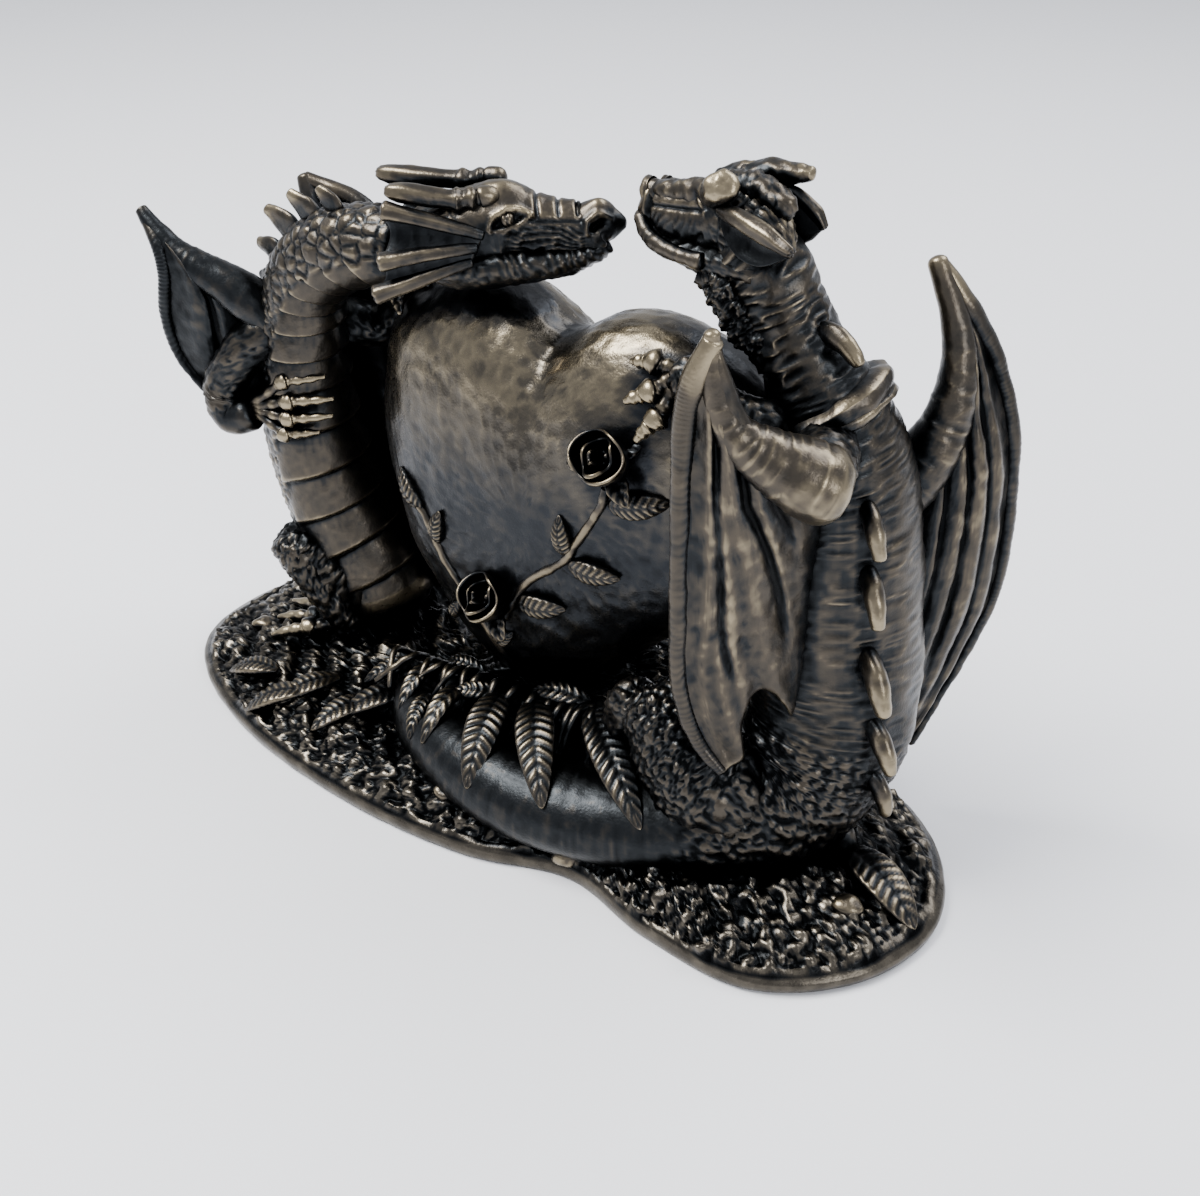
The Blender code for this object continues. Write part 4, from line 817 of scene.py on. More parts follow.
# Forward, left, up and radius
LEFT_HORN = [(12, 4.2, 6.6, 1.6), (9.0, 4.9, 6.5, 1.9), (8.1, 5.1, 6.4, 1.5), (7.2, 5.3, 6.4, 2.0),
             (5.9, 5.4, 6.3, 1.5), (4.6, 5.5, 6.3, 2.0), (3.2, 5.8, 6.5, 1.6), (-1.5, 6.3, 7.3, 1.8),
             (-7.5, 7, 8.3, 1.7)]


def grooved(points, u, v):
    """A horn is finely lined along its length."""
    lines = np.cos(2 * math.pi * (5 * v + 0.3 * grain(points, 5.0, 66)))
    return 0.1 * lines * smooth(u, 0.2, 0.5) + 0.1 * grain(points, 1.8, 67)


def frill(pose, spines, root_radius, tip_radius):
    forms = []
    for side in (1, -1):
        lines = [[np.array((f, side * l, w)) for f, l, w in line] for line in spines]
        for line in lines:
            radii = np.linspace(root_radius, tip_radius, len(line) + 1)
            line = [line[0], *[0.5 * (a + b) for a, b in zip(line[:-1], line[1:])], line[-1]]
            rows = [(*place, r, r) for place, r in zip(line, radii)]
            forms.append(pose.tube(rows, count=50, sides=20, relief=grooved,
                                   rub_and_painted_light=lambda p, u, v: 0.22 + 0.2 * smooth(u, 0.15, 0.5)))
        for pair in zip(lines[:-1], lines[1:]):
            edges = []
            for line in pair:
                drawn_in = zip((0, 0, 2), line)
                edges.append(np.array([pose.at(*(0.04 * line[-1] * s + (1 - 0.04 * s) * place))
                                       for s, place in drawn_in]))
            forms.append(stretched(*edges, 1.0, 40, 56, pose.way(0, side, 0), hem=(1, 0.9, 0.87, 0.9, 1),
                                   swell=lambda across, down: -1.1 * np.sin(math.pi * across) * down,
                                   relief=handled(0.1, 2.0, 68), rub_and_painted_light=0.32))
    return forms


for form in frill(left_pose, LEFT_FRILL, 0.9, 1.75):
    left_head.add(form)
for side, lift, back in ((-1, 0.0, 0.0), (1, 3.2, 4.7)):
    rows = [(f - back * smooth(-f, -9, 8), side * l, w + lift, r) for f, l, w, r in LEFT_HORN]
    left_head.add(left_pose.tube(rows, count=90, relief=grooved, rub_and_painted_light=0.42, cap=0.04))
left_head.tell()

# %% [markdown]
# The right head is seen from below and behind. Its mouth is shut, its snout blunt, and the bridge is a
# ringed log. The near horn is a stub that points at us, and a broad ear lies under it.

# %% The right dragon's face
RIGHT_SKULL = [(-6, 4.4, 3.4, -7), (1, 5.4, 5.4, -8), (7, 6.0, 6.8, -7), (12, 6.0, 6.8, -7),
               (17, 5.7, 5.8, -7), (22, 5.3, 5.2, -6.4), (25.4, 4.7, 5.2, -5.0), (28.4, 4.0, 4.9, -3.0)]
RIGHT_JAW = [(-4, 4.8, -4, -10), (3, 5.6, -4, -11), (10.8, 5.9, -3.8, -10.9), (18.8, 5.4, -4.0, -9.8),
             (23.4, 4.7, -3.4, -8.4), (26.4, 3.9, -2.0, -6.2), (28.8, 2.4, -0.8, -3.6)]
RIGHT_LIP = [(28.6, 1.8, -1.8), (26.8, 3.7, -3.6), (23.6, 4.8, -5.8), (18.6, 5.5, -7.0), (13, 5.9, -7.4),
             (9, 5.7, -7.4)]


def right_face(points, u, v):
    forward, left, up = right_pose.local(points).T
    flank = np.column_stack([forward, up])
    side = smooth(np.abs(left), 0.8, 2.0)
    height = 0.55 * side * smooth(forward, 25.2, 25.9) * smooth(up, -3, -1)
    height -= 0.6 * np.exp(-((forward - 25.0) / 0.4) ** 2) * smooth(up, -3, -1)
    height -= side * 0.6 * stroke(flank, [(24.4, 0.4), (18, 1.0), (11, 1.8)], 0.5)
    height -= side * 0.4 * stroke(flank, [(24.6, -3.0), (21.6, -5.6), (15.8, -5.9), (10.9, -3.0)], 0.5)
    panel = smooth(forward, 11, 13) * (1 - smooth(forward, 23, 24.5)) * (1 - smooth(up, -0.6, 0.4)) * side
    height += 0.06 * panel * np.cos(2 * math.pi * (forward / 1.9 + 0.08 * up + 0.8 * grain(points, 3.0, 71)))
    height += side * 0.6 * stroke(flank, [(13.6, 4.8), (12.2, 3.0), (10.6, 1.4)], 0.5)
    height += 0.55 * (1 - smooth(forward, 6, 10)) * (pebbles(points, 1.8, 72) - 0.5)
    return height + 0.14 * grain(points, 1.6, 73) + 0.06 * grain(points, 0.8, 74)


def log_rings(points, u, v):
    return 0.1 * np.cos(2 * math.pi * (8 * u + 1.2 * grain(points, 3.0, 75))) + 0.3 * grain(points, 1.6, 76)


def creased(points, u, v):
    creases = 0.04 * np.cos(2 * math.pi * (13 * u + 0.9 * grain(points, 2.0, 78)))
    return creases + 0.25 * grain(points, 2.2, 80)


right_head.add(right_pose.loft(RIGHT_SKULL, 124, 92, right_face, bridge_rub(right_pose, -5.0, 4.0)))
right_head.add(right_pose.loft(RIGHT_JAW, 80, 60, notched(right_pose, -12, 2.4, 77), 0.3))
for side in (1, -1):
    lip = [(f, side * l, w, 1.6) for f, l, w in RIGHT_LIP]
    right_head.add(right_pose.tube(lip, count=80, sides=18, rub_and_painted_light=0.38, relief=creased))
    log = [(28.4, 2.4 * side, 2.0, 2.6, 3.6), (26, 2.4 * side, 2.6, 2.2, 2.8),
           (24.6, 2.6 * side, 3.0, 2.1, 2.1), (19, 3.0 * side, 3.7, 2.2, 2.4),
           (14, 3.5 * side, 4.7, 2.4, 2.6), (8, 4.3 * side, 5.0, 2.5, 2.6)]
    right_head.add(right_pose.tube(log, count=70, sides=30, relief=log_rings, rub_and_painted_light=0.46))
right_head.tell()

# %% [markdown]
# Horns and ears sit behind the right face. An ear is stretched skin with a thick rolled border above.

# %% The right dragon's horns and ears
def rough_skin(size, high, seed):
    """Wax that was pressed and picked at: two sizes of pebble that never line up, over soft lumps."""
    def relief(points, u, v):
        shifted = points + 0.8 * size * grain(points, 2 * size, seed + 3)[:, None]
        lumps = 0.7 * pebbles(shifted, size, seed) + 0.4 * pebbles(points, 0.55 * size, seed + 1)
        return high * (lumps - 0.6 + 0.5 * grain(points, 0.8 * size, seed + 2))
    return relief


def ear(pose, border, hem_line, radius):
    def hollow(across, down):
        return -0.9 * np.sin(math.pi * across) * np.sin(math.pi * down)

    rows = [(*place, radius * r, radius * r) for place, r in zip(border, (0.8, 1.1, 1.15, 0.6))]
    edges = ([pose.at(*place) for place in line] for line in (border, hem_line))
    skin_form = stretched(*edges, 1.4, 40, 60, pose.way(0, np.sign(border[1][1]), 0), rub_and_painted_light=0.2, swell=hollow,
                          relief=handled(0.12, 2.0, 79))
    return [pose.tube(rows, count=50, relief=grooved, rub_and_painted_light=0.46), skin_form]


near_horn = [(12, 4.4, 4.6, 2.4), (8.6, 5.6, 5.4, 2.9), (6.4, 7.2, 6.6, 3.2), (5.2, 8.9, 7.4, 2.5)]
far_horn = [(10, -3.6, 7.2, 2.2), (6.8, -5, 9.0, 2.7), (1.6, -6, 9.9, 2.2), (-3.8, -7, 10.7, 1.35)]
far_brow = [(16.5, -3.4, 6.2, 1.4), (13.6, -4, 7.6, 2.0), (10.2, -4.8, 8.6, 2.4), (7, -5.2, 9.0, 2.2)]


def knobbly(seed):
    return lambda p, u, v: 0.6 * grain(p, 2.6, seed) + 0.16 * grain(p, 1.0, seed + 1)


for rows, seed in ((near_horn, 81), (far_horn, 83), (far_brow, 85)):
    right_head.add(right_pose.tube(rows, count=50, sides=30, cap=0.2, relief=knobbly(seed),
                                   rub_and_painted_light=lambda p, u, v: 0.4 + 0.45 * smooth(u, 0.5, 0.9)))
NEAR_EAR = ([(7.4, 5.6, 2.6), (1, 7.5, 2.0), (-6, 8.2, 0.4), (-12, 8.5, -1.5)],
            [(6.6, 6.0, 0.4), (1.8, 7.3, -3.8), (-4.8, 7.9, -5.2), (-11.6, 8.5, -2.3)], 1.6)
FAR_EAR = ([(3, -5.4, 6.6), (-0.5, -7, 6.3), (-4.4, -8.4, 3.6), (-6.6, -9, 1.2)],
           [(1, -5.6, 0), (-1, -7, -1.2), (-2.2, -8, -2.6), (-4.6, -8.6, -1.2)], 1.3)
for border, hem_line, radius in (NEAR_EAR, FAR_EAR):
    for form in ear(right_pose, border, hem_line, radius):
        right_head.add(form)
ridge = [(14, 0, 5.6, 2.0), (8, 0, 6.8, 2.8), (2, 0, 6.6, 3.0), (-5, 0, 4.0, 2.6)]
right_head.add(right_pose.tube(ridge, relief=rough_skin(1.8, 0.6, 87), rub_and_painted_light=0.3))
beard = right_stand.at([(-15, -2, 92, 4.5, 3.5), (-20, -2.4, 98, 5.6, 4.6), (-24.5, -2.8, 103.5, 5.8, 4.6),
                        (-29, -3, 108, 4.4, 4)])
right_head.add(skin(tube_shape(beard, (0.0, 1.0, 0.0)), 90, 70, rough_skin(2.3, 1.2, 91), rub_and_painted_light=0.25))
right_head.tell()

# %% [markdown]
# Where the neck leaves the shoulders the hide is gathered into two thin ledges.

# %% Collar
collar = right_stand.at([(-5.4, 0.8, 83, 10.4, 10.4), (-6.2, 0.5, 84.6, 11.6, 11.4),
                         (-6.8, 0.4, 85.8, 10.3, 10.3), (-7.4, 0.2, 87, 11.2, 10.9),
                         (-8.2, 0, 88.2, 9.6, 9.8), (-9, -0.2, 89.5, 8.6, 8.8)])
right_body.add(skin(tube_shape(collar, [(-118,), (-117,), (-116,), (-115,), (-114,), (-114,)]), 60, 120,
                    lambda p, u, v: 0.45 * grain(p, 3.0, 95) + 0.15 * grain(p, 1.2, 96), rub_and_painted_light=0.5))
right_body.tell()

# %% [markdown]
# A wing has an arm, a long finger bone down its outer edge, and skin from that bone to the body. All folds
# start at the wrist. Each is given by its way across at some heights, so it can wander, fork and die out as
# the real ones do. A fold's crest is rubbed bright and its trough stays blue-grey.

# %% Wings
def fold_height(across, down, folds):
    """folds: a line of (down, across), its width across and its height, below nought for a trough."""
    total = np.zeros_like(across)
    for line, wide, high in folds:
        downs, acrosses = np.array(line, float).T
        centre = np.interp(down, downs, acrosses)
        begins = smooth(down, downs[0] - 0.08, downs[0] + 0.06)
        fade = begins * (1 - smooth(down, downs[-1] - 0.06, downs[-1] + 0.04))
        total += high * fade * np.exp(-((across - centre) / (wide * (0.75 + down))) ** 2)
    return total


def wing(piece, stand, arm, edge, root, hem, facing, folds, worn_and_painted_light=0.45, rows=100, sides=220, wrinkled=0.16):
    arm_shape = tube_shape(stand.at(arm), tuple(facing), cap=0.1)
    edge_shape = tube_shape(stand.at(edge), tuple(facing), cap=0.02)
    beads = edge_shape.length / 1.15

    def arm_skin(points, u, v):
        lines = wrinkled * wrinkles(arm_shape, u, v, 1.5, 9.0, 101) * (1 - smooth(u, 0.5, 0.9))
        return lines + 0.25 * grain(points, 5.0, 102) + 0.06 * grain(points, 1.4, 103)

    def beaded(points, u, v):
        rings = 0.04 * np.cos(2 * math.pi * (beads * u + 0.9 * grain(points, 4.0, 104)))
        return rings * smooth(u, 0.08, 0.2) + 0.2 * grain(points, 3.0, 105)

    def membrane(points, u, v):
        return sum(high * grain(points, size, seed)
                   for high, size, seed in ((0.22, 4.5, 106), (0.1, 1.8, 107), (0.04, 0.8, 108)))

    def swell(across, down):
        fade = np.sin(math.pi * np.clip(across, 0, 1)) ** 0.35
        rise = 0.7 * fold_height(across, down, folds) * fade
        return rise + 2.6 * np.sin(math.pi * across) * np.sin(math.pi * np.clip(down, 0, 1))

    piece.add(skin(arm_shape, 110, 56, arm_skin,
                   rub_and_painted_light=lambda p, u, v: worn_and_painted_light + 0.12 + 0.35 * smooth(u, 0.75, 1.0)))
    piece.add(skin(edge_shape, 220, 18, beaded,
                   rub_and_painted_light=lambda p, u, v: worn_and_painted_light - 0.2 + 0.36 * (1 - smooth(u, 0.08, 0.2))))
    outer, inner = (stand.at(line)[:, :3] for line in (edge, root))
    piece.add(stretched(outer, inner, MEMBRANE, rows, sides, facing, swell, membrane, hem=hem,
                        rub_and_painted_light=lambda across, down: worn_and_painted_light + 0.1 + 0.04 * fold_height(across, down, folds)))


# %% [markdown]
# The two wings of the right dragon carry the folds that catch the eye. They were read off their crests and
# troughs one by one.

# %% The right dragon's wings
NEAR_FOLDS = [([(0.2, 0.2), (0.42, 0.17), (0.63, 0.18), (0.79, 0.14), (1.0, 0.12)], 0.035, 1.1),
              ([(0.45, 0.24), (0.63, 0.36), (0.79, 0.43), (0.92, 0.45)], 0.04, 1.0),
              ([(0.68, 0.27), (0.79, 0.29), (0.95, 0.31)], 0.035, 0.9),
              ([(0.2, 0.33), (0.42, 0.31), (0.63, 0.54), (0.79, 0.68), (0.95, 0.74)], 0.065, 1.3),
              ([(0.22, 0.5), (0.42, 0.52), (0.58, 0.68)], 0.045, 1.1),
              ([(0.28, 0.72), (0.42, 0.8), (0.63, 0.85), (0.79, 0.9), (0.95, 0.92)], 0.09, 1.2),
              ([(0.2, 0.26), (0.42, 0.22), (0.63, 0.28), (0.75, 0.36)], 0.02, -1.0),
              ([(0.2, 0.41), (0.42, 0.42), (0.63, 0.69), (0.72, 0.76)], 0.022, -1.4),
              ([(0.26, 0.56), (0.42, 0.62), (0.52, 0.72)], 0.022, -1.2),
              ([(0.25, 0.07), (0.6, 0.07), (0.95, 0.06)], 0.05, -0.8)]
FAR_FOLDS = [([(0.12, 0.2), (0.45, 0.22), (0.7, 0.2), (0.98, 0.2)], 0.05, 1.1),
             ([(0.12, 0.38), (0.45, 0.42), (0.7, 0.46), (0.98, 0.5)], 0.06, 1.2),
             ([(0.2, 0.56), (0.45, 0.62), (0.7, 0.7), (0.95, 0.76)], 0.05, 1.1),
             ([(0.3, 0.8), (0.6, 0.86), (0.9, 0.92)], 0.06, 1.0),
             ([(0.15, 0.3), (0.45, 0.32), (0.9, 0.34)], 0.022, -1.3),
             ([(0.2, 0.48), (0.45, 0.52), (0.85, 0.62)], 0.022, -1.4),
             ([(0.3, 0.7), (0.6, 0.78), (0.8, 0.86)], 0.022, -1.1),
             ([(0.2, 0.07), (0.95, 0.08)], 0.05, -0.8)]
NEAR_ARM = [(4, -17, 81.5, 6.2, 5.8), (0, -20.5, 84, 6.9, 6.2), (-5.5, -24, 87.5, 5.0, 4.7),
            (-10.5, -27, 92, 3.2, 3.2), (-13.2, -28.5, 99, 2.2, 2.2), (-14, -29.2, 108.3, 1.3, 1.3)]
NEAR_EDGE = [(-13.5, -29, 107, 1.6, 1.6), (-16, -30, 100, 2.1, 2.1), (-17, -30.5, 93, 1.9, 1.9),
             (-16.6, -31.5, 80, 1.7, 1.6), (-16.2, -31.5, 61, 1.5, 1.5), (-16, -30.5, 44, 1.5, 1.5),
             (-12.5, -30, 33, 1.4, 1.4), (-7, -29.5, 27, 1.0, 1.0)]
NEAR_ROOT = [(-12, -28, 103), (-6.5, -24.5, 90), (-1, -17, 81), (-1.3, -7.5, 70), (-1.8, -8, 56),
             (-1.2, -9, 42), (-1, -11.5, 30)]
FAR_ARM = [(2, 9, 68, 5, 5), (4.5, 12, 71, 5.8, 5.4), (7.4, 15.3, 79, 4.6, 4.6), (7.8, 17.6, 88, 3.3, 3.3),
           (5.4, 19, 97, 2.4, 2.4), (0, 20, 106.8, 1.5, 1.5)]
FAR_EDGE = [(1, 20, 105.5, 1.5, 1.5), (6.3, 22, 98.5, 2.0, 2.0), (11.5, 25, 89, 1.8, 1.8),
            (16.3, 26.6, 75, 1.7, 1.7), (18.5, 27.2, 51, 1.6, 1.6), (17, 26.6, 35, 1.5, 1.5),
            (10, 20, 6, 1.0, 1.0)]
FAR_ROOT = [(2.5, 19, 103), (8, 16, 86), (5.5, 12, 72), (6.5, 10, 60), (7, 9.5, 48), (7, 10, 32),
            (7, 15, 11)]
near_wing = Piece("right_near_wing")
wing(near_wing, right_stand, NEAR_ARM, NEAR_EDGE, NEAR_ROOT, facing=(0.59, -0.81, 0.1), folds=NEAR_FOLDS,
     hem=(1, 0.99, 1.0, 0.88, 0.82, 0.84, 0.9, 0.97, 1))
far_wing = Piece("right_far_wing")
wing(far_wing, right_stand, FAR_ARM, FAR_EDGE, FAR_ROOT, facing=(0.81, -0.55, 0.05), folds=FAR_FOLDS,
     hem=(1, 0.98, 0.93, 0.96, 1), worn_and_painted_light=0.4, rows=90, sides=190)
near_wing.tell()
far_wing.tell()

# %% [markdown]
# The left dragon holds its wings back. Their colour is kept dark as painted shade, for the hollow inner side
# of the one and for the gap behind the heart that the other fills. Only a few folds run down them.

# %% The left dragon's wings
OUTER_FOLDS = [([(0.1, 0.3), (0.95, 0.3)], 0.08, 1.0), ([(0.2, 0.5), (0.9, 0.52)], 0.04, -1.4)]
OUTER_ARM = [(3, -10, 76, 5.5, 5.2), (-7, -15, 84, 4.6, 4.4), (-16, -18.5, 89.5, 3.2, 3),
             (-21.5, -20, 94.5, 2, 2), (-25.5, -20, 98.5, 1.2, 1.2)]
OUTER_EDGE = [(-25, -20, 97.8, 1.2, 1.2), (-19.8, -21.5, 92, 1.6, 1.6), (-19, -22, 86, 1.6, 1.6),
              (-20.8, -22, 78, 1.5, 1.5), (-20, -21, 68, 1.4, 1.4), (-12, -18.5, 58, 1.1, 1.1)]
OUTER_ROOT = [(-24, -20, 96), (-11, -16, 86), (-7, -13, 78), (-5, -12.5, 70), (-5, -12.5, 64), (-6, -14, 57)]
BACK_FOLDS = [([(0.1, 0.2), (0.95, 0.22)], 0.05, 1.4), ([(0.15, 0.42), (0.95, 0.44)], 0.05, 1.4),
              ([(0.2, 0.62), (0.95, 0.66)], 0.06, 1.3), ([(0.25, 0.82), (0.95, 0.85)], 0.06, 1.2)]
BACK_ARM = [(4, -3, 76, 6, 5.5), (-1, 4, 82, 5, 4.6), (-5, 8, 91, 3.4, 3.2), (-9, 9, 101, 1.5, 1.5)]
BACK_EDGE = [(-9, 9, 100, 1.4, 1.4), (4, 13, 95, 1.9, 1.9), (17, 15, 82, 1.8, 1.8), (27, 15, 64, 1.7, 1.7),
             (33, 14, 44, 1.6, 1.6), (34, 11, 24, 1.4, 1.4), (30, 8, 6, 1.2, 1.2)]
BACK_ROOT = [(-9, 8, 98), (-5, 6, 88), (-5, 5, 76), (-6, 6, 62), (-6, 8, 46), (-2, 11, 26), (3, 12, 8)]
left_wings = Piece("left_wings")
# Painted shade: the outer wing's colour is kept dark for the shade in its hollow inner side.
wing(left_wings, left_stand, OUTER_ARM, OUTER_EDGE, OUTER_ROOT, facing=(0.8, -0.55, 0.1), folds=OUTER_FOLDS,
     hem=(1, 0.93, 0.9, 0.95, 1), worn_and_painted_light=0.14, rows=60, sides=120, wrinkled=0.08)
# Painted shade: the back wing fills the gap behind the heart and its colour is kept dark for the shade there.
wing(left_wings, left_stand, BACK_ARM, BACK_EDGE, BACK_ROOT, facing=(0.15, 0.98, 0.05), folds=BACK_FOLDS,
     hem=(1, 0.95, 1, 0.94, 1), worn_and_painted_light=0.22, rows=80, sides=150, wrinkled=0.12)
left_wings.tell()

# %% [markdown]
# Limbs are short tubes with rough skin. A hand or a foot is a fan of fingers, each over a knuckle to a claw.
# The fingers are ridged across, and bright where they stand off the body.

# %% Limbs
def limb(piece, stand, rows, side, relief, rub_and_painted_light=0.24, count=56, sides=48):
    piece.add(skin(tube_shape(stand.at(rows), side, cap=0.2), count, sides, relief, rub_and_painted_light))


def ringed_finger(points, u, v):
    return 0.14 * np.cos(60 * u) * (1 - smooth(u, 0.8, 0.95)) + 0.05 * grain(points, 1.2, 111)


def hand(piece, stand, wrist, fingers, radius, out):
    """fingers: a knuckle and a tip each. The claw is worn bright, and the finger behind it is ringed."""
    out = unit(np.asarray(out, float))
    wrist = stand.point(*wrist)
    for knuckle, tip in fingers:
        knuckle, tip = stand.point(*knuckle), stand.point(*tip)
        stations = [(wrist, 1.0, 1.0), (0.5 * wrist + 0.5 * knuckle + 0.3 * out, 0.8, 0.75),
                    (0.1 * wrist + 0.9 * knuckle, 0.9, 0.9), (knuckle + 0.25 * out, 1.2, 1.25),
                    (0.88 * knuckle + 0.12 * tip, 0.85, 0.8),
                    (0.5 * knuckle + 0.5 * tip + 0.2 * out, 0.72, 0.68), (tip, 0.3, 0.3)]
        rows = [(*place, radius * wide, radius * deep) for place, wide, deep in stations]
        piece.add(skin(tube_shape(rows, tuple(out), cap=0.08), 60, 16, ringed_finger,
                       rub_and_painted_light=lambda p, u, v: 0.5 + 0.35 * smooth(u, 0.3, 0.7)))


left_limbs = Piece("left_dragon_limbs")
right_limbs = Piece("right_dragon_limbs")
flat_up = (0.0, 0.0, 1.0)

# %% [markdown]
# The left dragon lays one hand on its own belly and the other on the heart. It sits on its hind feet.

# %% The left dragon's limbs
def scaled_above(points, u, v):
    scales = 0.4 * (1 - smooth(u, 0.5, 0.75)) * (pebbles(points, 2.2, 121) - 0.4)
    return scales + 0.2 * grain(points, 2.4, 122)


BELLY_ARM = [(1, -12, 78, 5, 4.8), (-6, -17, 71, 4.6, 4.3), (-11, -19, 63, 4.3, 4), (-9, -19.5, 57.5, 4, 4),
             (-3, -18, 59.5, 3.5, 3.8)]
BELLY_FINGERS = [((4, -16, 67.3), (11.5, -11.3, 68.5)), ((5.4, -16.6, 63.4), (13.5, -11.6, 64.2)),
                 ((5.2, -17, 59.6), (13, -12, 60.4)), ((3.6, -17.3, 55.8), (10, -13.4, 56.4))]
HEART_ARM = [(4, -1, 76, 5.5, 5), (12, 6, 74, 4.6, 4.4), (19, 5, 82, 4, 3.8), (24, 1, 88, 3.4, 3.2),
             (28.5, -0.5, 90, 2.6, 2.4)]
HEART_FINGERS = [((31, -3, 92), (36, -5, 91)), ((31, 1, 93), (37, 0, 93)), ((28, -6, 88), (32, -9.5, 86))]
limb(left_limbs, left_stand, BELLY_ARM, flat_up, scaled_above)
hand(left_limbs, left_stand, (-5, -17.8, 60), BELLY_FINGERS, 1.45, (0.6, -0.8, 0.0))
limb(left_limbs, left_stand, HEART_ARM, flat_up, rough_skin(2.2, 0.6, 123))
hand(left_limbs, left_stand, (25, 0, 88), HEART_FINGERS, 1.6, (0.0, -0.3, 1.0))
for mid, sign in ((2, -1), (3, 1)):
    def out_to(y):
        return mid + sign * y

    thigh = [(6, out_to(2), 4, 8, 8), (0, out_to(8), 14, 8, 8), (-4, out_to(13), 22, 6.5, 6.5),
             (-5, out_to(15), 26, 4.5, 4.5)]
    shin = [(-5, out_to(15), 25, 5, 5), (0, out_to(14), 15, 4.2, 4.4), (5, out_to(12), 6, 3.6, 4),
            (6, out_to(11), 2, 3.4, 3.6)]
    toes = [((-3, out_to(9), 2.5), (-15, out_to(9), 0)), ((-3, out_to(13), 2.5), (-13, out_to(16), 0)),
            ((-1, out_to(17), 2.5), (-9, out_to(22), 0))]
    limb(left_limbs, left_stand, thigh, flat_up, rough_skin(2.8, 1.0, 124))
    limb(left_limbs, left_stand, shin, (0.0, 1.0, 0.0), rough_skin(2.2, 0.8, 127))
    hand(left_limbs, left_stand, (5, out_to(11), 3), toes, 2.0, flat_up)
left_limbs.tell()

# %% [markdown]
# The right dragon's near hand holds the top of the heart, hidden by the wing. Its thigh is a large rough
# mass.

# %% The right dragon's limbs
SHOULDERS = ([(-5, -3, 80, 6, 6), (-3, -10, 82, 6, 6), (0, -18, 83, 5.6, 5.4)],
             [(-3, 4, 72, 6, 6), (1, 9, 72, 5.4, 5.4), (4, 13, 72, 5, 5)],
             [(-10, -8, 84, 5, 5), (-18, -13, 86, 4.4, 4.4), (-25, -13, 90, 4, 4), (-29, -12, 91, 3.4, 3.4)])
NEAR_FINGERS = [((-33, -13, 92), (-38, -13, 91)), ((-32, -16, 88), (-36, -18, 86)),
                ((-30, -17, 84), (-33, -19, 80))]
NEAR_TOES = [((-44, -19, 11), (-50, -21, 8)), ((-45, -15, 11), (-52, -14, 8)),
             ((-43, -11, 11), (-49, -8, 9))]
NEAR_THIGH = [(-5, -13, 8, 13, 12), (-15, -19.5, 14, 11.5, 11), (-23, -20, 23, 9, 9), (-29, -19, 30, 6, 6)]
NEAR_SHIN = [(-30, -21, 29, 5.4, 5.2), (-33, -19, 20, 5, 5), (-36, -17, 11, 4.4, 4.6),
             (-40, -16, 6, 3.6, 3.6)]
FAR_THIGH = [(-2, 4, 8, 9, 9), (-8, 14, 14, 8, 8), (-14, 18, 22, 6.5, 6.5), (-18, 19, 27, 4.5, 4.5)]
FAR_SHIN = [(-18, 19, 26, 5, 5), (-18, 18, 14, 4.4, 4.4), (-20, 17, 2, 4, 4)]
along_y = (0.0, 1.0, 0.0)
for rows in SHOULDERS:
    limb(right_limbs, right_stand, rows, flat_up, rough_skin(2.2, 0.6, 131))
hand(right_limbs, right_stand, (-28, -12, 91), NEAR_FINGERS, 1.8, (-0.3, -0.6, 0.7))
limb(right_limbs, right_stand, NEAR_THIGH, flat_up, rough_skin(2.2, 1.0, 134), count=96, sides=96)
limb(right_limbs, right_stand, NEAR_SHIN, along_y, rough_skin(2.4, 0.9, 137))
hand(right_limbs, right_stand, (-38, -16, 8), NEAR_TOES, 2.0, flat_up)
limb(right_limbs, right_stand, FAR_THIGH, flat_up, rough_skin(2.8, 1.0, 140))
limb(right_limbs, right_stand, FAR_SHIN, along_y, rough_skin(2.4, 0.9, 143))
right_limbs.tell()

# %% [markdown]
# Fallen leaves and a few smooth stones lie in the rubble.

# %% Leaves and stones on the ground
# x and y of the tip, heading in degrees, and share of a full leaf
GROUND_LEAVES = [(-71, -24, 195, 0.8), (-59, -31, 215, 0.9), (-52, -28, 240, 0.9), (-39, -30, 250, 0.9),
                 (-36, -24, 235, 1.0), (-1, 5, 20, 1.0), (-22, -5, 200, 0.9), (90, -6, -25, 1.2),
                 (-64, 9, -20, 0.9), (-34, 32, 160, 0.9), (16, 20, 200, 0.9)]
# x and y, and share of a full stone
STONES = [(26, -27, 1.0), (12, -29, 0.86), (54, -12, 1.0), (78, -10, 1.07), (-76, -8, 0.93), (-2, -29, 0.93),
          (62, 24, 0.93), (-40, 29, 0.93)]


def on_ground(x, y):
    """A place on the earth, lower near the rim."""
    outer = outline_at(np.linspace(0, 1, 361))
    turn = np.unwrap(np.arctan2(outer[:, 1], outer[:, 0]))
    at = math.atan2(y, x)
    while at < turn.min():
        at += 2 * math.pi
    while at > turn.max():
        at -= 2 * math.pi
    order = np.argsort(turn)
    reach = np.interp(at, turn[order], np.hypot(*outer.T)[order])
    share = min(math.hypot(x, y) / reach, 1.0)
    return np.array([x, y, float(earth_height(np.float64(x), np.float64(y), share))])


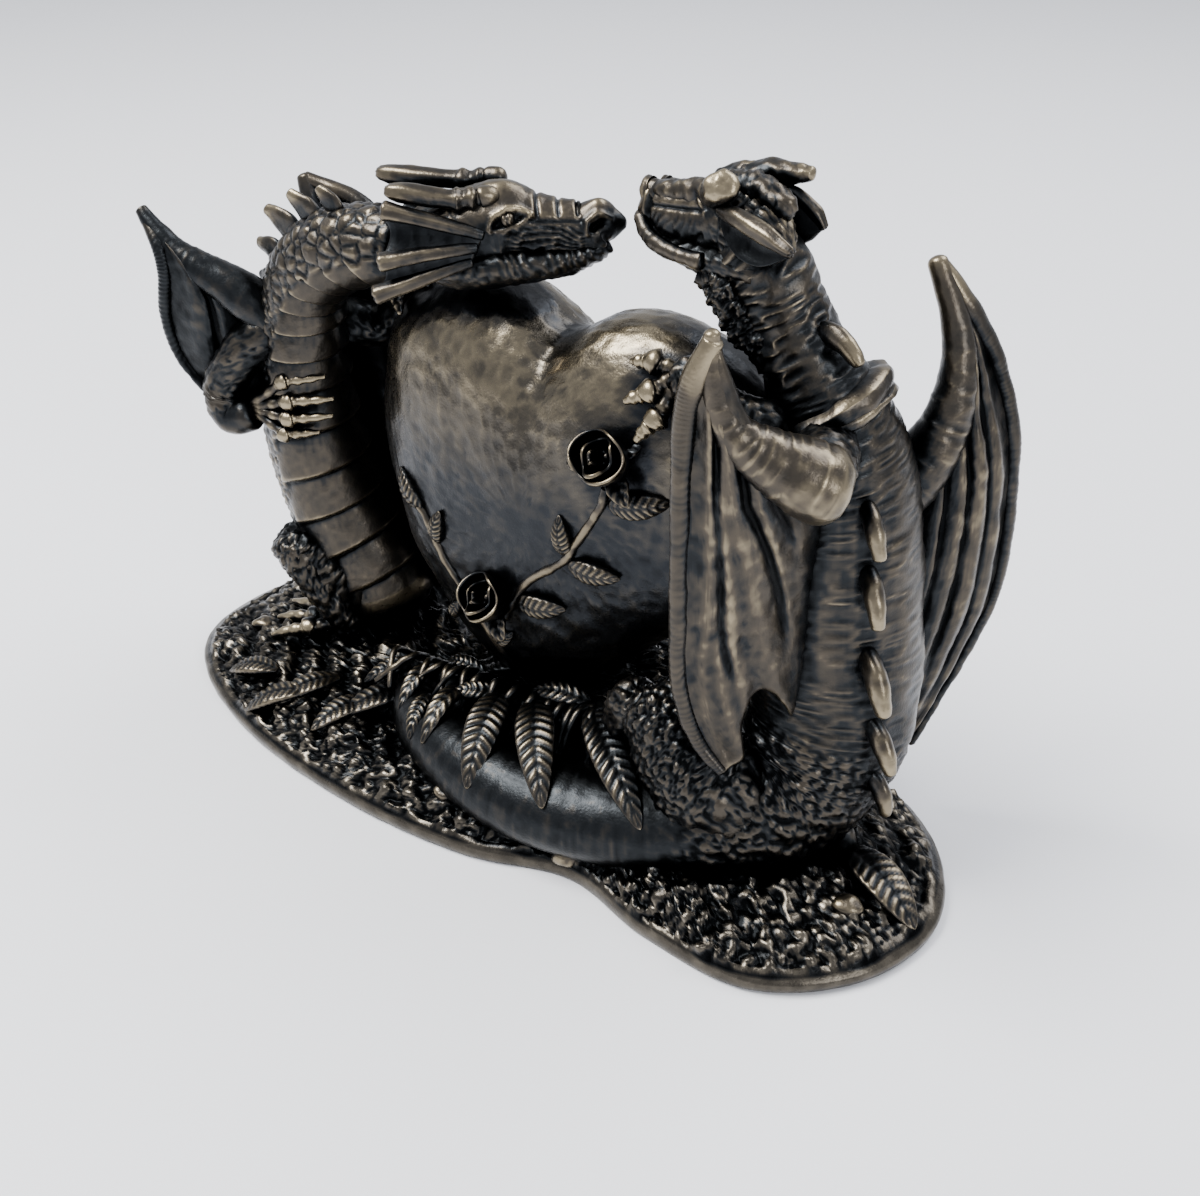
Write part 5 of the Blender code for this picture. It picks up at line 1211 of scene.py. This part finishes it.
litter = Piece("leaves_and_stones")
for x, y, heading, share in GROUND_LEAVES:
    tip = on_ground(x, y)
    turn = math.radians(heading)
    reach = LEAF_LENGTH * share * np.array([math.cos(turn), math.sin(turn)])
    root = on_ground(tip[0] - reach[0], tip[1] - reach[1])
    wide = 0.42 * LEAF_LENGTH * share
    litter.add(leaf(root + (0, 0, 0.9), tip + (0, 0, 0.5), (0, 0, 1), wide, 2.2, fold=0.1, veins=10, rows=40,
                    sides=26))
for x, y, share in STONES:
    root = on_ground(x, y)
    radius = 2.8 * share
    rows = [(*(root + (0, 0, k * radius)), radius * w, radius * 0.8 * w)
            for k, w in ((-0.9, 0.7), (0.1, 1.0), (0.7, 0.6))]
    litter.add(skin(tube_shape(rows, (1.0, 0.4, 0.0), cap=0.2), 24, 24, handled(0.5, 2.0, 151), rub_and_painted_light=0.6))
litter.tell()

# %% [markdown]
# Between the tail and the heart lies a bank of leaf litter, and the big leaves hang from it over the tail.

# %% Leaves over the tail
bank = [(-35, -5, 9, 5, 4), (-20, -7, 11, 6, 6), (-3, -8, 13, 6.5, 7), (13, -7, 15.5, 6.5, 7.5),
        (25, -6, 18, 6, 8), (35, -7, 17, 5, 6)]
litter.add(skin(tube_shape(bank, (0.0, 1.0, 0.0), cap=0.1), 120, 50, rough_skin(2.6, 1.3, 161), rub_and_painted_light=0.3))
# Root, tip, width and arch
BIG_LEAVES = [((-2.6, -8, 20.8), (5.3, -31.2, 15.0), 7.8, 0.17),
              ((4.5, -7, 21.6), (22.3, -29.2, 17.2), 8.0, 0.15),
              ((17.6, -6.5, 24.5), (41.2, -24.0, 18.0), 7.6, 0.13)]
SMALL_LEAVES = [((-17.3, -15, 18), (-14.4, -25.6, 14.2), 3.8, 0.15),
                ((-12, -9, 18), (-9.9, -26.8, 15.9), 4.6, 0.22),
                ((-24, -5, 16), (-22, -20, 14.5), 4.2, 0.2),
                ((17, -5, 24.6), (3, -6.5, 22.2), 5.0, 0.1),
                ((-10, -5, 20), (-22, -4, 17.5), 4.2, 0.1),
                ((24, -5, 26.6), (35, -10, 23.6), 5.0, 0.15),
                ((-3, -9, 20.4), (-13, -14, 19), 4.2, 0.12),
                ((9, -9, 22.4), (13, -17, 20.6), 4.0, 0.15),
                ((-30, -4, 13.6), (-38, -14, 11), 4.4, 0.15)]
TWIGS = 18
TWIG_SPACING = 3.6
for root, tip, width, arch in BIG_LEAVES:
    litter.add(leaf(root, tip, (0.2, -0.45, 0.9), width, 2.6, fold=0.05, arch=arch, veins=13, rows=80,
                    sides=40))
for root, tip, width, arch in SMALL_LEAVES:
    litter.add(leaf(root, tip, (0.1, -0.4, 0.9), width, 2.2, fold=0.1, arch=arch, veins=8, rows=44,
                    sides=26))
for number in range(TWIGS):
    x = -32 + TWIG_SPACING * number
    rows = [(x, -1, 12 + 0.16 * (x + 32), 0.9, 0.9),
            (x + 2 * math.sin(7 * number), -9, 19.4 + 0.11 * (x + 32), 0.8, 0.8),
            (x + 4 * math.cos(3 * number), -16, 15 + 0.06 * (x + 32), 0.6, 0.6)]
    litter.add(skin(tube_shape(rows, (1.0, 0.0, 0.0), cap=0.06), 34, 9, handled(0.3, 1.8, 152), rub_and_painted_light=0.35))
litter.tell()

# %% [markdown]
# The finish is an antiquing patina: the whole casting is blackened, and then what stands proud is rubbed
# back to metal. So the colour follows the shape. For each point two things are measured here: how far it
# stands proud of the surface round it, and how shut in it lies between other forms. The second darkens the
# colour as painted shade where the forms would shade each other, and stands also for patina left in recesses.

# %% Patina and painted shade from the shape
CELL = 1.6
MARGIN = 16.0


def read(mesh):
    """A mesh's places in millimetres, its normals and its edges, as arrays."""
    co, normal = (np.empty(3 * len(mesh.vertices), np.float32) for _ in range(2))
    mesh.vertices.foreach_get("co", co)
    mesh.vertices.foreach_get("normal", normal)
    edges = np.empty(2 * len(mesh.edges), np.int32)
    mesh.edges.foreach_get("vertices", edges)
    return co.reshape(-1, 3).astype(float) * 1000, normal.reshape(-1, 3).astype(float), edges.reshape(-1, 2)


def proud_of(co, normal, edges):
    """How far each point stands out of a copy of its surface that is rounded off, a little and then more."""
    count = len(co)
    degree = np.maximum(np.bincount(edges.ravel(), minlength=count)[:, None], 1)
    rounded = co.copy()
    proud = np.zeros(count)
    for rounds in range(1, 7):
        total = np.zeros_like(co)
        for a, b in ((0, 1), (1, 0)):
            for axis in range(3):
                total[:, axis] += np.bincount(edges[:, a], rounded[edges[:, b], axis], minlength=count)
        rounded = 0.3 * rounded + 0.7 * total / degree
        if rounds in (2, 6):
            proud += ((co - rounded) * normal).sum(-1)
    return proud


def measure_patina_and_shade():
    """Keeps on each point how far it stands proud, and how full the casting is 4 and 8 mm out from it. The
    second is used as painted shade.
    """
    low, high = (np.array(corner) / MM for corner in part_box("dragon_statue"))
    low, high = low - MARGIN, high + MARGIN
    filled = np.zeros(np.ceil((high - low) / CELL).astype(int))
    shapes = [(piece, *read(piece.data)) for piece in Piece.made]
    for _, co, _, _ in shapes:
        filled[tuple(np.floor((co - low) / CELL).astype(int).T)] = 1.0
    near = filled
    weights = (1, 2, 4, 6, 7, 6, 4, 2, 1)
    for axis in range(3):
        rolled = (np.roll(near, step, axis) * weight for step, weight in zip(range(-4, 5), weights))
        near = sum(rolled) / sum(weights)
    for piece, co, normal, edges in shapes:
        proud = proud_of(co, normal, edges)
        shut_in = np.zeros(len(co))
        for far in (4.0, 8.0):
            index = np.floor((co + far * normal - low) / CELL).astype(int)
            index = np.clip(index, 0, np.array(filled.shape) - 1)
            shut_in += near[tuple(index.T)]
        for name, values in (("proud", proud), ("shut_in", shut_in)):
            layer = piece.data.attributes.new(name, "FLOAT", "POINT")
            layer.data.foreach_set("value", values.astype(np.float32))
        print(piece.name, "proud", np.round(np.percentile(proud, (5, 50, 95)), 3), "shut in",
              np.round(np.percentile(shut_in, (5, 50, 95)), 3))


# %% [markdown]
# Antiqued bronze: a metal with its default index of refraction. The black in the hollows is a thin sulphide
# layer, still metallic but dull and slightly blue. What was rubbed is warm and smoother. Points shut in
# between forms are also pushed towards the black, as painted shade.

# %% Colours
def linear(code):
    """An sRGB hex colour as linear red, green, blue and alpha."""
    values = [int(code[k:k + 2], 16) / 255 for k in (1, 3, 5)]
    return [c / 12.92 if c <= 0.04045 else ((c + 0.055) / 1.055) ** 2.4 for c in values] + [1.0]


def add_node(tree, kind, settings=None, links=None):
    """Adds a node. settings are its properties or input values, and links say what feeds its inputs."""
    node = tree.nodes.new(kind)
    for key, value in (settings or {}).items():
        if isinstance(key, int) or key in node.inputs:
            node.inputs[key].default_value = value
        else:
            setattr(node, key, value)
    for key, source in (links or {}).items():
        tree.links.new(source, node.inputs[key])
    return node


def add_map_range(tree, source, given, wanted):
    """Maps the given low and high value to the wanted ones."""
    settings = dict(zip(("From Min", "From Max", "To Min", "To Max"), (*given, *wanted)))
    return add_node(tree, "ShaderNodeMapRange", settings, {"Value": source})


def bronze(name, colours, rough_hollow, rough_high, wear=0.36):
    """colours run from the black in the hollows and in the painted shade to the rubbed metal.

    wear is how far along them a point moves that stands 0.3 mm proud.
    """
    material = bpy.data.materials.new(name)
    material.use_nodes = True
    tree = material.node_tree
    tree.nodes.clear()
    place = add_node(tree, "ShaderNodeTexCoord").outputs["Object"]
    proud = add_node(tree, "ShaderNodeAttribute", {"attribute_name": "proud"}).outputs["Fac"]
    shut_in = add_node(tree, "ShaderNodeAttribute", {"attribute_name": "shut_in"}).outputs["Fac"]
    rub_and_painted_light = add_node(tree, "ShaderNodeAttribute", {"attribute_name": "rub_and_painted_light"}).outputs["Fac"]
    # Lumps of 4 mm break up the rubbing, and grit of 0.5 mm roughens the metal
    patches = add_node(tree, "ShaderNodeTexNoise", {"Scale": 1 / 0.004, "Detail": 4.0}, {"Vector": place})
    grit = add_node(tree, "ShaderNodeTexNoise", {"Scale": 1 / 0.0005, "Detail": 2.0}, {"Vector": place})
    stand = add_map_range(tree, proud, (-0.3, 0.3), (-wear, wear))
    # Painted shade: points shut in between other forms are darkened towards black.
    shade = add_map_range(tree, shut_in, (0.15, 0.75), (0.0, -0.7))
    worn_and_painted_light = add_node(tree, "ShaderNodeMath", {"operation": "ADD"}, {0: stand.outputs[0], 1: shade.outputs[0]})
    worn_and_painted_light = add_node(tree, "ShaderNodeMath", {"operation": "ADD"}, {0: worn_and_painted_light.outputs[0], 1: rub_and_painted_light})
    mottle = add_map_range(tree, patches.outputs["Fac"], (0.3, 0.7), (-0.07, 0.07))
    worn_and_painted_light = add_node(tree, "ShaderNodeMath", {"operation": "ADD", "use_clamp": True},
                    {0: worn_and_painted_light.outputs[0], 1: mottle.outputs[0]}).outputs[0]
    colour = add_node(tree, "ShaderNodeValToRGB", links={0: worn_and_painted_light})
    elements = colour.color_ramp.elements
    for number, code in enumerate(colours):
        place = number / (len(colours) - 1)
        element = elements.new(place) if 0 < place < 1 else elements[-1 if place else 0]
        element.color = linear(code)
    rough = add_map_range(tree, worn_and_painted_light, (0.0, 1.0), (rough_hollow, rough_high))
    rough = add_node(tree, "ShaderNodeMath", {"operation": "MULTIPLY_ADD", 1: 0.16},
                     {0: grit.outputs["Fac"], 2: rough.outputs[0]})
    bump = add_node(tree, "ShaderNodeBump", {"Strength": 0.25, "Distance": 0.0002},
                    {"Height": grit.outputs["Fac"]})
    shader = add_node(tree, "ShaderNodeBsdfPrincipled", {"Metallic": 1.0},
                      {"Base Color": colour.outputs["Color"], "Roughness": rough.outputs[0],
                       "Normal": bump.outputs["Normal"]})
    add_node(tree, "ShaderNodeOutputMaterial", links={"Surface": shader.outputs[0]})
    return material


antiqued = bronze("antiqued_bronze", ("#0b0c0d", "#27292b", "#4c463e", "#8e826b"), 0.28, 0.22)
burnished = bronze("burnished_bronze", ("#0f1012", "#292b2e", "#514c44", "#9a8d74"), 0.24, 0.18, wear=0.1)
blackened = bronze("blackened_bronze", ("#090a0b", "#1f2021", "#413d37", "#7f776a"), 0.20, 0.22)

for piece in (flowers, left_body, right_body, left_head, right_head, near_wing, far_wing, left_wings,
              left_limbs, right_limbs, litter):
    piece.finish(antiqued)
heart.finish(burnished)
earth.finish(blackened)
measure_patina_and_shade()

# %% [markdown]
# A plain pale floor and a soft studio: a large light above and to the left, weaker ones behind and to the
# right, and a pale sky that fills the shadows. Their sizes and places are in metres.

# %% Floor and light
FLOOR_HALF = 4.0
floor_bm = bmesh.new()
bmesh.ops.create_grid(floor_bm, x_segments=1, y_segments=1, size=FLOOR_HALF)
floor_mesh = bpy.data.meshes.new("floor")
floor_bm.to_mesh(floor_mesh)
floor_bm.free()
floor = bpy.data.objects.new("floor", floor_mesh)
bpy.context.scene.collection.objects.link(floor)
paper = bpy.data.materials.new("white_paper")
paper.use_nodes = True
paper_shader = paper.node_tree.nodes["Principled BSDF"]
paper_shader.inputs["Base Color"].default_value = linear("#e3e4e8")
paper_shader.inputs["Roughness"].default_value = 0.6
floor_mesh.materials.append(paper)


def soft_light(name, place, target, size, power, colour):
    data = bpy.data.lights.new(name, "AREA")
    data.shape = "RECTANGLE"
    data.size, data.size_y = size
    data.energy = power
    data.color = linear(colour)[:3]
    light = bpy.data.objects.new(name, data)
    bpy.context.scene.collection.objects.link(light)
    spot = np.array(place, float)
    light.location = spot
    back = unit(spot - np.array(target, float))
    light.rotation_euler = (math.acos(back[2]), 0.0, math.atan2(back[1], back[0]) + math.pi / 2)


soft_light("overhead", (-0.36, -0.25, 0.8), (0, 0, 0.05), (0.5, 0.36), 17.0, "#fbfaf7")
soft_light("behind", (0.25, 0.45, 0.7), (0, 0, 0.05), (0.6, 0.4), 6.0, "#f7f8fb")
soft_light("right", (0.9, -0.35, 0.5), (0, 0, 0.05), (0.4, 0.4), 4.0, "#ffffff")
world = bpy.data.worlds.new("studio")
bpy.context.scene.world = world
world.use_nodes = True
sky = world.node_tree.nodes["Background"]
sky.inputs["Color"].default_value = linear("#d4d7de")
sky.inputs["Strength"].default_value = 1.3
